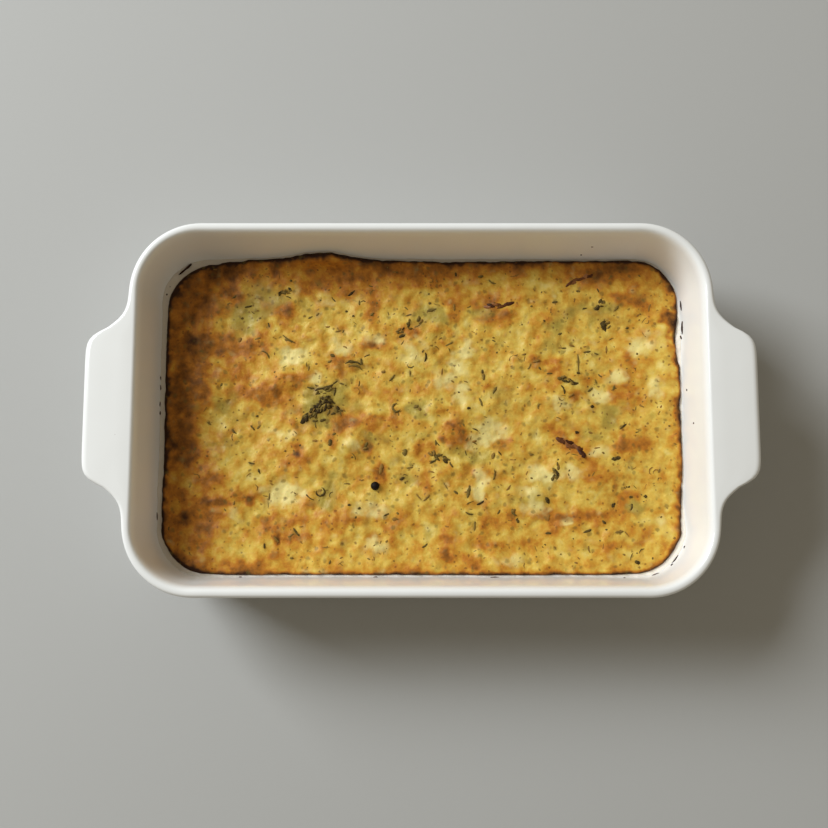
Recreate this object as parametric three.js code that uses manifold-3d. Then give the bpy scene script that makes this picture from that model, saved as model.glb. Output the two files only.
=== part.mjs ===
// Onion souffle baked in a white stoneware dish with two lug handles.
// Millimetres, +Z up. The origin is the middle of the dish's base and +X points at one handle.

import * as THREE from 'three';
import { mergeGeometries, mergeVertices } from 'three/addons/utils/BufferGeometryUtils.js';
import Module from 'manifold-3d';

const wasm = await Module();
wasm.setup();

// Dish, as seen from above
const BODY_LENGTH = 280;
const BODY_WIDTH = 179;
const CORNER_RADIUS = 34;
const HANDLE_REACH = 20;
const HANDLE_HALF_WIDTH = 38;
const HANDLE_TIP_SOFTNESS = 2.4;
const HANDLE_ROOT_SOFTNESS = 3.7;
const HANDLE_STATIONS = [10, 22, 29, 33, 35.5, 37.5, 39.5, 42, 45, 49];

// Dish, in section
const HEIGHT = 60;
const WALL_THICKNESS = 5.3;
const WALL_DRAFT = THREE.MathUtils.degToRad(8.4);
const FLOOR_THICKNESS = 5.5;
const FLOOR_FILLET = 12;
const BASE_ROUNDING = 9;
const FOOT_WIDTH = 3.4;
const FOOT_RECESS = 1.2;
const LIP_DEPTH = 6;
const LIP_WIDTH = 5.8;
const LIP_CROWN_INSET = 2.2;
const LIP_FLAT = 0.3;
const LIP_OUTER_ROUNDING = 3;
const HANDLE_THICKNESS = 7.4;
const HANDLE_ROOT_DROP = 15;
const HANDLE_FILLET = 7;
const HANDLE_UNDERSIDE_FALL = 0.8;
const HANDLE_UNDER_ROUNDING = 2.6;
const HANDLE_EDGE_ROUNDING = 3.4;
const HANDLE_BLEND_REACH = 10;
const RIM_STEPS = 6;
const CORNER_STEPS = 6;
const AXIS_ZONE = 4;
const WELD_TOLERANCE = 1e-4;

// Souffle
const SETTLED_GAP = 0.4;
const SHRINK_PULL = 0.2;
const PULL_FADE = 8;
const FOOD_LEVEL = 28.6;
const EDGE_ROUNDING = 2;
const SKIRT_LIFT = 2.6;
const GRID_STEP = 5.6;

// Herb flakes baked into the top
const FLAKE_COUNT = 64;
const FLAKE_LONGEST = 5.6;
const FLAKE_SHORTEST = 3.4;
const FLAKE_ASPECT = 0.34;
const FLAKE_THICKNESS = 1.6;
const FLAKE_STANDS_PROUD = 0.5;
const FLAKE_EDGE_MARGIN = 9;
const FLAKE_SIDES = 6;
const FLAKE_RINGS = 3;
const SPARSE_LEFT_SHARE = 0.2;
const SPARSE_LEFT_END = -40;
const GOLDEN = 0.6180339887;
const PLASTIC_X = 0.7548776662;
const PLASTIC_Y = 0.5698402910;

// Browned swells and pale hollows of the top: centre, radii, turn in degrees and height
const SWELLS = [
  { name: 'crust up the back wall', at: [-46, 81], radii: [15, 6], turn: 0, height: 4.6 },
  { name: 'dark blister, upper left', at: [-112, 35], radii: [11, 8], turn: 20, height: 1.5 },
  { name: 'dark blister, left', at: [-110, 13], radii: [12, 8], turn: -10, height: 1.6 },
  { name: 'browned ridge', at: [-71, 15], radii: [17, 7], turn: 22, height: 1.7 },
  { name: 'orange blister', at: [-66, 52], radii: [7, 6], turn: 0, height: 1.2 },
  { name: 'back ridge', at: [-27, 54], radii: [9, 7], turn: 40, height: 1.2 },
  { name: 'rise under the herb clump', at: [-49, 6], radii: [11, 8], turn: 15, height: 1.2 },
  { name: 'middle ridge', at: [-21, -4], radii: [14, 6], turn: 5, height: 1.3 },
  { name: 'small lump', at: [-30, -16], radii: [6, 5], turn: 0, height: 1.1 },
  { name: 'left blister', at: [-59, -24], radii: [9, 7], turn: 30, height: 1.2 },
  { name: 'front left rise', at: [-98, -40], radii: [13, 16], turn: 15, height: 1.4 },
  { name: 'front blister', at: [-40, -51], radii: [11, 8], turn: 0, height: 1.2 },
  { name: 'central blister', at: [17, -8], radii: [9, 8], turn: 60, height: 1.3 },
  { name: 'front edge rise', at: [8, -70], radii: [20, 7], turn: 0, height: 1.1 },
  { name: 'right blister', at: [104, -4], radii: [8, 15], turn: 5, height: 1.3 },
  { name: 'right front rise', at: [88, -32], radii: [9, 8], turn: 0, height: 1.1 },
  { name: 'front right ridge', at: [92, -57], radii: [18, 7], turn: -8, height: 1.2 },
  { name: 'back right rise', at: [96, 62], radii: [20, 9], turn: -15, height: 1.2 },
  { name: 'right edge rise', at: [121, 14], radii: [8, 26], turn: 0, height: 1.1 },
  { name: 'left hollow', at: [-64, 29], radii: [11, 6], turn: 15, height: -1.4 },
  { name: 'front left hollow', at: [-67, -40], radii: [10, 8], turn: 20, height: -1.3 },
  { name: 'front hollow', at: [28, -40], radii: [8, 9], turn: 0, height: -1.1 },
  { name: 'right front hollow', at: [60, -27], radii: [9, 7], turn: -30, height: -1.2 },
  { name: 'middle hollow', at: [36, -9], radii: [10, 6], turn: 40, height: -1.1 },
  { name: 'upper middle hollow', at: [17, 24], radii: [8, 13], turn: 0, height: -1.0 },
  { name: 'right hollow', at: [91, 12], radii: [8, 9], turn: 0, height: -1.1 },
  { name: 'left edge, sunk', at: [-131, 0], radii: [12, 52], turn: 0, height: -1.8 },
];

// Gentle unevenness of the whole top: wavelength, direction in degrees, phase and height
const WAVES = [
  { length: 61, turn: 17, phase: 0.6, height: 0.45 },
  { length: 43, turn: 104, phase: 2.1, height: 0.4 },
  { length: 29, turn: 58, phase: 4.0, height: 0.3 },
  { length: 23, turn: -37, phase: 1.2, height: 0.25 },
];

// Places where the shrunken edge has drawn back from the wall
const DRAWN_BACK = [
  { name: 'right edge notch', at: [131, 38], radius: 9, pull: 2.8 },
  { name: 'back left corner', at: [-121, 71], radius: 20, pull: 4.2 },
  { name: 'front left corner', at: [-121, -72], radius: 16, pull: 2.2 },
  { name: 'front right corner', at: [121, -68], radius: 20, pull: 2.6 },
  { name: 'back edge', at: [20, 80], radius: 34, pull: 0.9 },
  { name: 'left edge, back', at: [-131, 28], radius: 34, pull: 2.1 },
  { name: 'left edge, front', at: [-131, -30], radius: 34, pull: 2.1 },
];

// Herb clump, leaves and onion shreds that are larger than the scattered flakes
const TOPPINGS = [
  { name: 'herb clump, middle', at: [-49, 6], size: [12, 5], turn: 35 },
  { name: 'herb clump, left', at: [-54, 3], size: [8, 4], turn: -10 },
  { name: 'herb clump, back', at: [-47, 10.5], size: [9, 3.4], turn: 24 },
  { name: 'herb clump, right', at: [-43.5, 5], size: [6, 3], turn: -30 },
  { name: 'back herb sprig', at: [-4, 46], size: [9, 4], turn: 28 },
  { name: 'back herb sprig end', at: [-10, 42], size: [5, 3], turn: 30 },
  { name: 'back left herbs', at: [-69, 63], size: [7, 4], turn: 10 },
  { name: 'herb leaf', at: [66.5, -29], size: [9, 3.2], turn: 80 },
  { name: 'front herb leaf', at: [46.7, -50], size: [6.5, 2.6], turn: -72 },
  { name: 'herb row', at: [74, 17], size: [11, 3], turn: -12 },
  { name: 'right herb leaf', at: [94, 46], size: [5.5, 4], turn: 60 },
  { name: 'right herb pair', at: [90.5, 56], size: [5, 3.4], turn: 30 },
  { name: 'middle herbs', at: [9, -21], size: [9, 3.6], turn: -20 },
  { name: 'onion shred, back', at: [37, 54.5], size: [14, 2.6], turn: 4 },
  { name: 'onion shred, back right', at: [80, 68], size: [13, 2.4], turn: 22 },
  { name: 'onion shred, right', at: [75, -16], size: [14, 3], turn: -38 },
  { name: 'peppercorn', at: [-22, -36], size: [3.4, 3.2], turn: 0 },
];

const HALF_LENGTH = BODY_LENGTH / 2;
const HALF_WIDTH = BODY_WIDTH / 2;
const CORNER_X = HALF_LENGTH - CORNER_RADIUS;
const CORNER_Y = HALF_WIDTH - CORNER_RADIUS;
const CAVITY_RADIUS_AT_LIP = CORNER_RADIUS - LIP_WIDTH;
const LIP_START = HEIGHT - LIP_DEPTH;
const LIP_CROWN = CORNER_RADIUS - LIP_CROWN_INSET;
const LIP_TURN = HEIGHT - LIP_OUTER_ROUNDING;

// Radius of the cavity's round corner where the wall passes height z
function cavityRadius(z) {
  return CAVITY_RADIUS_AT_LIP - (LIP_START - z) * Math.tan(WALL_DRAFT);
}

// Radius of the outer wall's round corner at height z
function outerRadius(z) {
  return cavityRadius(z) + WALL_THICKNESS / Math.cos(WALL_DRAFT);
}

// Arc that turns a drafted wall into a flat floor at floorZ, from the wall down to the floor
function floorArc(radiusAt, floorZ, rounding, steps) {
  const wallZ = floorZ + rounding * (1 - Math.sin(WALL_DRAFT));
  const centreR = radiusAt(wallZ) - rounding * Math.cos(WALL_DRAFT);
  const arc = new THREE.EllipseCurve(
    centreR, floorZ + rounding, rounding, rounding, -WALL_DRAFT, -Math.PI / 2, true,
  );
  return arc.getPoints(steps);
}

// How far a handle stands out of the body at a distance y from the middle of the short side
function handleReach(y) {
  const past = Math.abs(y) - HANDLE_HALF_WIDTH;
  const softness = past < 0 ? HANDLE_TIP_SOFTNESS : HANDLE_ROOT_SOFTNESS;
  return HANDLE_REACH / (1 + Math.exp(past / softness));
}

// Section of the rim from the outer wall over the edge to the crown of the lip.
// With no reach it is the plain rounded lip, and with the full reach it is the handle.
function rimSection(reach) {
  const share = reach / HANDLE_REACH;
  const lift = THREE.MathUtils.smoothstep(reach, 0, HANDLE_BLEND_REACH);
  const rootZ = HEIGHT - HANDLE_ROOT_DROP;
  const underside = HEIGHT - HANDLE_THICKNESS;
  const tip = CORNER_RADIUS + HANDLE_REACH;
  const edge = HANDLE_EDGE_ROUNDING;
  const plainZ = (step) => THREE.MathUtils.lerp(rootZ, LIP_TURN, step / RIM_STEPS);
  const outward = (step, handleR) => THREE.MathUtils.lerp(outerRadius(plainZ(step)), handleR, share);
  const upward = (step, handleZ) => THREE.MathUtils.lerp(plainZ(step), handleZ, lift);
  const section = new THREE.Path();
  section.moveTo(outerRadius(rootZ), rootZ);
  section.quadraticCurveTo(
    outward(1, outerRadius(underside)), upward(1, underside - HANDLE_UNDERSIDE_FALL),
    outward(2, outerRadius(rootZ) + HANDLE_FILLET), upward(2, underside - HANDLE_UNDERSIDE_FALL),
  );
  section.lineTo(outward(3, tip - edge), upward(3, underside));
  section.quadraticCurveTo(
    outward(4, tip), upward(4, underside),
    outward(5, tip), upward(5, underside + HANDLE_UNDER_ROUNDING),
  );
  section.lineTo(outward(6, tip), upward(6, HEIGHT - edge));
  section.quadraticCurveTo(
    outward(6, tip), HEIGHT,
    THREE.MathUtils.lerp(LIP_CROWN, tip - edge, share), HEIGHT,
  );
  section.lineTo(LIP_CROWN - LIP_FLAT, HEIGHT);
  return section.getPoints(3);
}

// Section of the whole dish, from the middle of its base, over the rim, to the middle of its floor
function dishSection(reach) {
  const base = floorArc(outerRadius, 0, BASE_ROUNDING, 3).reverse();
  const footInner = base[0].x - FOOT_WIDTH;
  const innerLip = new THREE.QuadraticBezierCurve(
    new THREE.Vector2(LIP_CROWN - LIP_FLAT, HEIGHT),
    new THREE.Vector2(cavityRadius(HEIGHT), HEIGHT),
    new THREE.Vector2(CAVITY_RADIUS_AT_LIP, LIP_START),
  );
  return [
    new THREE.Vector2(0, FOOT_RECESS),
    new THREE.Vector2(footInner - FOOT_RECESS, FOOT_RECESS),
    new THREE.Vector2(footInner, 0),
    ...base,
    ...rimSection(reach),
    ...innerLip.getPoints(4).slice(1),
    ...floorArc(cavityRadius, FLOOR_THICKNESS, FLOOR_FILLET, 4),
    new THREE.Vector2(0, FLOOR_THICKNESS),
  ];
}

// Stations round the rounded rectangle: the corner centre that each is measured from, and its outward angle
function outlineStations() {
  const quarterTurn = Math.PI / 2;
  const handleSide = [...HANDLE_STATIONS.map((y) => -y).reverse(), 0, ...HANDLE_STATIONS];
  const corners = [[1, 1], [-1, 1], [-1, -1], [1, -1]];
  return corners.flatMap(([signX, signY], quarter) => {
    const stations = [];
    for (let step = 0; step <= CORNER_STEPS; step += 1) {
      const angle = (quarter + step / CORNER_STEPS) * quarterTurn;
      stations.push({ x: signX * CORNER_X, y: signY * CORNER_Y, angle });
    }
    const angle = (quarter + 1) * quarterTurn;
    if (signX === signY) {
      stations.push({ x: 0, y: signY * CORNER_Y, angle });
    } else {
      stations.push(...handleSide.map((y) => ({ x: signX * CORNER_X, y: signX * y, angle })));
    }
    return stations;
  });
}

// A solid whose section is laid off round the rounded rectangle
function turnedSolid(stations, sectionAt) {
  const sections = stations.map(sectionAt);
  const columns = stations.length;
  const rows = sections[0].length;
  const geometry = new THREE.LatheGeometry(sections[0], columns);
  const position = geometry.attributes.position;
  for (let column = 0; column <= columns; column += 1) {
    const station = stations[column % columns];
    const section = sections[column % columns];
    section.forEach((point, row) => {
      const inward = Math.min(1, point.x / AXIS_ZONE);
      const x = station.x * inward + point.x * Math.cos(station.angle);
      const y = station.y * inward + point.x * Math.sin(station.angle);
      position.setXYZ(column * rows + row, x, y, point.y);
    });
  }
  return geometry;
}

// Leaves only positions, joins equal vertices and drops triangles that have lost their area
function welded(geometry) {
  const bare = geometry.clone();
  bare.deleteAttribute('normal');
  bare.deleteAttribute('uv');
  const merged = mergeVertices(bare, WELD_TOLERANCE);
  const corners = merged.index.array;
  const kept = [];
  for (let i = 0; i < corners.length; i += 3) {
    const [a, b, c] = [corners[i], corners[i + 1], corners[i + 2]];
    if (a !== b && b !== c && c !== a) kept.push(a, b, c);
  }
  merged.setIndex(kept);
  return merged;
}

function toManifold(geometry) {
  const closed = welded(geometry);
  return new wasm.Manifold(new wasm.Mesh({
    numProp: 3,
    vertProperties: new Float32Array(closed.attributes.position.array),
    triVerts: new Uint32Array(closed.index.array),
  }));
}

function toGeometry(solid) {
  const mesh = solid.getMesh();
  const geometry = new THREE.BufferGeometry();
  geometry.setAttribute('position', new THREE.BufferAttribute(mesh.vertProperties, 3));
  geometry.setIndex(new THREE.BufferAttribute(mesh.triVerts, 1));
  return geometry;
}

function makeDish() {
  const geometry = turnedSolid(outlineStations(), (station) => {
    const y = station.y + CORNER_RADIUS * Math.sin(station.angle);
    return dishSection(handleReach(y));
  });
  return toGeometry(toManifold(geometry));
}

// A bell of height 1 over an ellipse
function bell(x, y, at, radii, turn) {
  const angle = THREE.MathUtils.degToRad(turn);
  const dx = x - at[0];
  const dy = y - at[1];
  const along = (dx * Math.cos(angle) + dy * Math.sin(angle)) / radii[0];
  const across = (dy * Math.cos(angle) - dx * Math.sin(angle)) / radii[1];
  return Math.exp(-(along * along + across * across));
}

// Height of the souffle's top
function topHeight(x, y) {
  let height = FOOD_LEVEL;
  for (const swell of SWELLS) {
    height += swell.height * bell(x, y, swell.at, swell.radii, swell.turn);
  }
  for (const wave of WAVES) {
    const turn = THREE.MathUtils.degToRad(wave.turn);
    const along = x * Math.cos(turn) + y * Math.sin(turn);
    height += wave.height * Math.sin((2 * Math.PI * along) / wave.length + wave.phase);
  }
  return height;
}

// How far the souffle's top edge has drawn back from the wall near a point
function edgePull(x, y) {
  let pull = SHRINK_PULL;
  for (const place of DRAWN_BACK) {
    pull += place.pull * bell(x, y, place.at, [place.radius, place.radius], 0);
  }
  return pull;
}

// Radius of the souffle's round corner at height z
const foodRadius = (z) => cavityRadius(z) - SETTLED_GAP;

// Moves a point of the full rectangle, in shares of its half sides, onto the plan with that corner radius
function onRoundedPlan(shareX, shareY, radius) {
  const x = shareX * (CORNER_X + radius);
  const y = shareY * (CORNER_Y + radius);
  const pastX = Math.abs(x) - CORNER_X;
  const pastY = Math.abs(y) - CORNER_Y;
  if (pastX <= 0 || pastY <= 0) return [x, y];
  const squeeze = Math.max(pastX, pastY) / Math.hypot(pastX, pastY);
  return [
    Math.sign(x) * (CORNER_X + pastX * squeeze),
    Math.sign(y) * (CORNER_Y + pastY * squeeze),
  ];
}

// Side of the souffle at one place on its edge: corner radius and height, from the floor to the rounded top
function sideSection(shareX, shareY) {
  const pull = edgePull(...onRoundedPlan(shareX, shareY, foodRadius(FOOD_LEVEL)));
  const topRadius = foodRadius(FOOD_LEVEL) - pull - EDGE_ROUNDING;
  const topZ = topHeight(...onRoundedPlan(shareX, shareY, topRadius));
  const skirtZ = topZ - SKIRT_LIFT;
  return [
    ...floorArc(foodRadius, FLOOR_THICKNESS + SETTLED_GAP, FLOOR_FILLET, 3).reverse(),
    new THREE.Vector2(foodRadius(skirtZ) - pull, skirtZ),
    new THREE.Vector2(
      THREE.MathUtils.lerp(topRadius, foodRadius(topZ) - pull, Math.SQRT1_2),
      THREE.MathUtils.lerp(skirtZ, topZ, Math.SQRT1_2),
    ),
    new THREE.Vector2(topRadius, topZ),
  ];
}

// Share of the half side at one step of a grid, from -1 to 1
const gridShare = (step, steps) => -1 + (2 * step) / steps;

// Shares of the half sides once round the edge, on the steps of the top grid
function edgeShares(stepsX, stepsY) {
  const shares = [];
  for (let i = 0; i < stepsX; i += 1) shares.push([gridShare(i, stepsX), -1]);
  for (let j = 0; j < stepsY; j += 1) shares.push([1, gridShare(j, stepsY)]);
  for (let i = stepsX; i > 0; i -= 1) shares.push([gridShare(i, stepsX), 1]);
  for (let j = stepsY; j > 0; j -= 1) shares.push([-1, gridShare(j, stepsY)]);
  return shares;
}

// Lumpy top of the souffle, out to where its edge rounds over
function souffleTop(stepsX, stepsY) {
  const level = foodRadius(FOOD_LEVEL);
  const top = new THREE.PlaneGeometry(2, 2, stepsX, stepsY);
  const position = top.attributes.position;
  for (let i = 0; i < position.count; i += 1) {
    const shareX = gridShare(i % (stepsX + 1), stepsX);
    const shareY = gridShare(stepsY - Math.floor(i / (stepsX + 1)), stepsY);
    const reach = Math.max(Math.abs(shareX), Math.abs(shareY), Number.EPSILON);
    const pull = edgePull(...onRoundedPlan(shareX / reach, shareY / reach, level)) * reach ** PULL_FADE;
    const [x, y] = onRoundedPlan(shareX, shareY, level - pull - EDGE_ROUNDING);
    position.setXYZ(i, x, y, topHeight(x, y));
  }
  return top;
}

// Solid body of the souffle: a lumpy top, a skirt down the wall and a flat bottom
function souffleCore() {
  const stepsX = Math.round(BODY_LENGTH / GRID_STEP);
  const stepsY = Math.round(BODY_WIDTH / GRID_STEP);
  const shares = edgeShares(stepsX, stepsY);
  const sections = shares.map(([shareX, shareY]) => sideSection(shareX, shareY));
  const levels = sections[0].length - 1;
  const round = shares.length;

  const skirt = new THREE.PlaneGeometry(1, 1, round, levels);
  const bottom = new THREE.CircleGeometry(1, round);
  bottom.attributes.position.setXYZ(0, 0, 0, sections[0][0].y);
  for (let column = 0; column <= round; column += 1) {
    const [shareX, shareY] = shares[column % round];
    sections[column % round].forEach((point, level) => {
      const [x, y] = onRoundedPlan(shareX, shareY, point.x);
      skirt.attributes.position.setXYZ((levels - level) * (round + 1) + column, x, y, point.y);
      if (level === 0) bottom.attributes.position.setXYZ(1 + round - column, x, y, point.y);
    });
  }
  return mergeGeometries([souffleTop(stepsX, stepsY), skirt, bottom]);
}

// One flake or shred, lying on the top and following its slope
function flake(x, y, length, width, turn) {
  const geometry = new THREE.SphereGeometry(0.5, FLAKE_SIDES, FLAKE_RINGS);
  geometry.rotateX(Math.PI / 2);
  geometry.scale(length, width, FLAKE_THICKNESS);
  const slopeX = (topHeight(x + 1, y) - topHeight(x - 1, y)) / 2;
  const slopeY = (topHeight(x, y + 1) - topHeight(x, y - 1)) / 2;
  const up = new THREE.Vector3(0, 0, 1);
  const normal = new THREE.Vector3(-slopeX, -slopeY, 1).normalize();
  const lean = new THREE.Quaternion().setFromUnitVectors(up, normal);
  const spin = new THREE.Quaternion().setFromAxisAngle(up, turn);
  geometry.applyQuaternion(lean.multiply(spin));
  geometry.translate(x, y, topHeight(x, y) + FLAKE_STANDS_PROUD - FLAKE_THICKNESS / 2);
  return geometry;
}

// How far inside the souffle's edge a point lies
function insideEdge(x, y) {
  const pastX = Math.abs(x) - CORNER_X;
  const pastY = Math.abs(y) - CORNER_Y;
  const past = pastX > 0 && pastY > 0 ? Math.hypot(pastX, pastY) : Math.max(pastX, pastY);
  return foodRadius(FOOD_LEVEL) - past;
}

const fraction = (value) => value - Math.floor(value);

// Scattered herb flakes, the longest first, spread evenly with fewer towards the left edge
function scatteredFlakes() {
  const flakes = [];
  for (let n = 1; flakes.length < FLAKE_COUNT; n += 1) {
    const x = (2 * fraction(n * PLASTIC_X) - 1) * HALF_LENGTH;
    const y = (2 * fraction(n * PLASTIC_Y) - 1) * HALF_WIDTH;
    const density = THREE.MathUtils.mapLinear(x, -HALF_LENGTH, SPARSE_LEFT_END, SPARSE_LEFT_SHARE, 1);
    if (insideEdge(x, y) > FLAKE_EDGE_MARGIN && fraction(n * Math.SQRT2) < density) {
      const length = THREE.MathUtils.lerp(FLAKE_LONGEST, FLAKE_SHORTEST, flakes.length / FLAKE_COUNT);
      flakes.push(flake(x, y, length, length * FLAKE_ASPECT, fraction(n * GOLDEN) * Math.PI));
    }
  }
  return flakes;
}

function makeSouffle() {
  const toppings = TOPPINGS.map(({ at, size, turn }) => (
    flake(...at, ...size, THREE.MathUtils.degToRad(turn))
  ));
  const pieces = [...toppings, ...scatteredFlakes()].map(toManifold);
  const solid = pieces.reduce((joined, piece) => joined.add(piece), toManifold(souffleCore()));
  return toGeometry(solid);
}

const glazedStoneware = new THREE.MeshStandardMaterial({ color: 0xf1efe9, roughness: 0.15, metalness: 0 });
const bakedSouffle = new THREE.MeshStandardMaterial({ color: 0xc9a04c, roughness: 0.6, metalness: 0 });

function namedMesh(name, geometry, material) {
  const mesh = new THREE.Mesh(geometry, material);
  mesh.name = name;
  return mesh;
}

const dishOfSouffle = new THREE.Group();
dishOfSouffle.add(namedMesh('dish', makeDish(), glazedStoneware));
dishOfSouffle.add(namedMesh('souffle', makeSouffle(), bakedSouffle));

export default dishOfSouffle;
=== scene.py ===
"""Onion souffle baked in a white glazed stoneware dish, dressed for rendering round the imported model.

Lengths inside the making functions are millimetres, and every finished mesh is in metres.
"""

import math
import random
from collections import namedtuple

import bmesh
import bpy
from bpy.props import FloatProperty, FloatVectorProperty, IntProperty, PointerProperty
from bpy.types import Operator, Panel, PropertyGroup
from mathutils import Matrix, Vector, noise


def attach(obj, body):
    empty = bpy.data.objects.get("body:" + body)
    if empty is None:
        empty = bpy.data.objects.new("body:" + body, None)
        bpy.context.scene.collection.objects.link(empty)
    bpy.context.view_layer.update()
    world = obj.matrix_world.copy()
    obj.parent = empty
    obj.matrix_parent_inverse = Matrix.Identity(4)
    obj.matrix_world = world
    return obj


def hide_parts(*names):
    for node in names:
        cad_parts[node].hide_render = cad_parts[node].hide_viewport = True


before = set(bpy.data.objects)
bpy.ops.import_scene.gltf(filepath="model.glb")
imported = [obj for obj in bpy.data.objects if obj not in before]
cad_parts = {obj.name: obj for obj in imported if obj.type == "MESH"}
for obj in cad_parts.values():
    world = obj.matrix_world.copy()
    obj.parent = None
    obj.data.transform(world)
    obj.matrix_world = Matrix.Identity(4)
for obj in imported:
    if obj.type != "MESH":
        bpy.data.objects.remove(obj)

bl_info = {
    "name": "Onion souffle dish",
    "version": (1, 0, 0),
    "blender": (4, 5, 0),
    "location": "View3D > Sidebar > Souffle",
    "description": "Builds a baked onion souffle in its glazed stoneware dish",
    "category": "Add Mesh",
}

MM = 0.001

# Dish, as seen from above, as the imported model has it
CORNER_X = 106
CORNER_Y = 55.5
CORNER_RADIUS = 34
HANDLE_REACH = 20
HANDLE_HALF_WIDTH = 38
HANDLE_TIP_SOFTNESS = 2.4
HANDLE_ROOT_SOFTNESS = 3.7

# Dish, in section
HEIGHT = 60
WALL_THICKNESS = 5.3
WALL_DRAFT = math.radians(8.4)
FLOOR_THICKNESS = 5.5
FLOOR_FILLET = 12
BASE_ROUNDING = 9
FOOT_WIDTH = 3.4
FOOT_RECESS = 1.2
LIP_START = 54
LIP_TURN = 57
LIP_CROWN = 31.8
LIP_FLAT = 0.3
CAVITY_RADIUS_AT_LIP = 28.2
HANDLE_THICKNESS = 7.4
HANDLE_ROOT_DROP = 15
HANDLE_FILLET = 7
HANDLE_UNDERSIDE_FALL = 0.8
HANDLE_UNDER_ROUNDING = 2.6
HANDLE_EDGE_ROUNDING = 3.4
HANDLE_BLEND_REACH = 10
RIM_STEPS = 6

# Cuts across the dish that give its rim more points: their step, and how far out they reach
LONG_SIDE_CUT_STEP = 15
LONG_SIDE_CUTS_REACH = 90
HANDLE_CUT_STEP = 2
HANDLE_CUTS_REACH = 52

# Souffle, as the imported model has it
SETTLED_GAP = 0.4
SHRINK_PULL = 0.2
PULL_FADE = 8
FOOD_LEVEL = 28.6
EDGE_ROUNDING = 2

# Edge of the souffle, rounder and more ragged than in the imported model
SKIRT_LIFT = 1.3
SKIRT_RINGS = 5
SIDE_RINGS = 3
CLINGING_SHARE = 0.7
RAGGED_EDGE = 0.9
CALMER_FRONT = 0.6
# Darkening of the edge that faces the wall: burnt crust, and painted shade of the gap at the wall, most on
# the left
EDGE_DARKENING = 0.42
EDGE_DARKENING_LEAST = 0.1
EDGE_DARKENING_MOST = 0.65

# Film of egg that closes the gap between the drawn-back edge and the wall
FILM_RISE = 0.4
FILM_SLOPE = 0.6
FILM_RINGS = 4
FILM_OVERLAP = 0.4
FILM_CURVE = 2.4
FILM_START_SHARE = 0.9
# Share of the film's white that shows: less where the wall is in shade, which is painted shade
FILM_SHARE_LIT = 1.0
FILM_SHARE_SHADED = 0.78

# Thin crust that climbs the back wall above the solid
CRUST_MIDDLE = -46
CRUST_REACH_LEFT = 24
CRUST_REACH_RIGHT = 14
CRUST_DEPTH = 2.8
CRUST_HEIGHT = 7

# Scattered herb flakes that the solid has, and the rule that spreads them
SOLID_FLAKES = 64
FLAKE_LONGEST = 5.6
FLAKE_SHORTEST = 3.4
FLAKE_ASPECT = 0.34
FLAKE_EDGE_MARGIN = 9
SPARSE_LEFT_SHARE = 0.2
SPARSE_LEFT_END = -40
GOLDEN = 0.6180339887
PLASTIC_X = 0.7548776662
PLASTIC_Y = 0.5698402910

# Pieces of leaf on each square millimetre of a topping, and strands of an onion shred
LEAVES_PER_AREA = 0.34
STRANDS = 7

# Thickness of the baked-on scraps, and of the crumbs that lie flush in the handles
SCRAP_THICKNESS = 0.7
CRUMB_THICKNESS = 0.1

# Glaze, with the sizes of its patterns and the height of the brown line that the egg left on the wall
GLAZE_POOL_SIZE = 38
GLAZE_WAVE_SIZE = 24
GLAZE_ROUGHNESS = 0.16
GLAZE_IOR = 1.5
CLAY_ROUGHNESS = 0.6
STAIN_LOW = 27.2
STAIN_HIGH = 28.6
STAIN_MOST = 0.15
STAIN_RAG_SIZE = 5

# Baked egg, with the sizes of its patterns
MIDDLE_GRAIN_SIZE = 3.4
FINE_GRAIN_SIZE = 1.3
SWIRL_REACH = 3
DRIFT_SIZE = 15
MOIST_ROUGHNESS = 0.4
TOASTED_ROUGHNESS = 0.62
EGG_IOR = 1.3

# Stage, in metres
CAMERA_PLACE = (-0.00339, -0.07509, 0.5968)
CAMERA_TILT = math.radians(7.56)
SENSOR_WIDTH_MM = 36
WINDOW_PLACE = (-1.5, 0.95, 1.32)
WINDOW_SIZE = 1.0
WINDOW_COLOUR = (0.94, 1.0, 1.05)
SKY_COLOUR = (1.0, 0.9, 0.7, 1.0)
FLOOR_HALF_SIZE = 3

Octave = namedtuple("Octave", "weight size seed")
Patch = namedtuple("Patch", "name at radii turn amount")
Wave = namedtuple("Wave", "length turn phase height")
Place = namedtuple("Place", "name at radius pull")
Topping = namedtuple("Topping", "name at size turn")
Scrap = namedtuple("Scrap", "name at z length width turn")
Herb = namedtuple("Herb", "x y length width turn bend tint")

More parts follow.
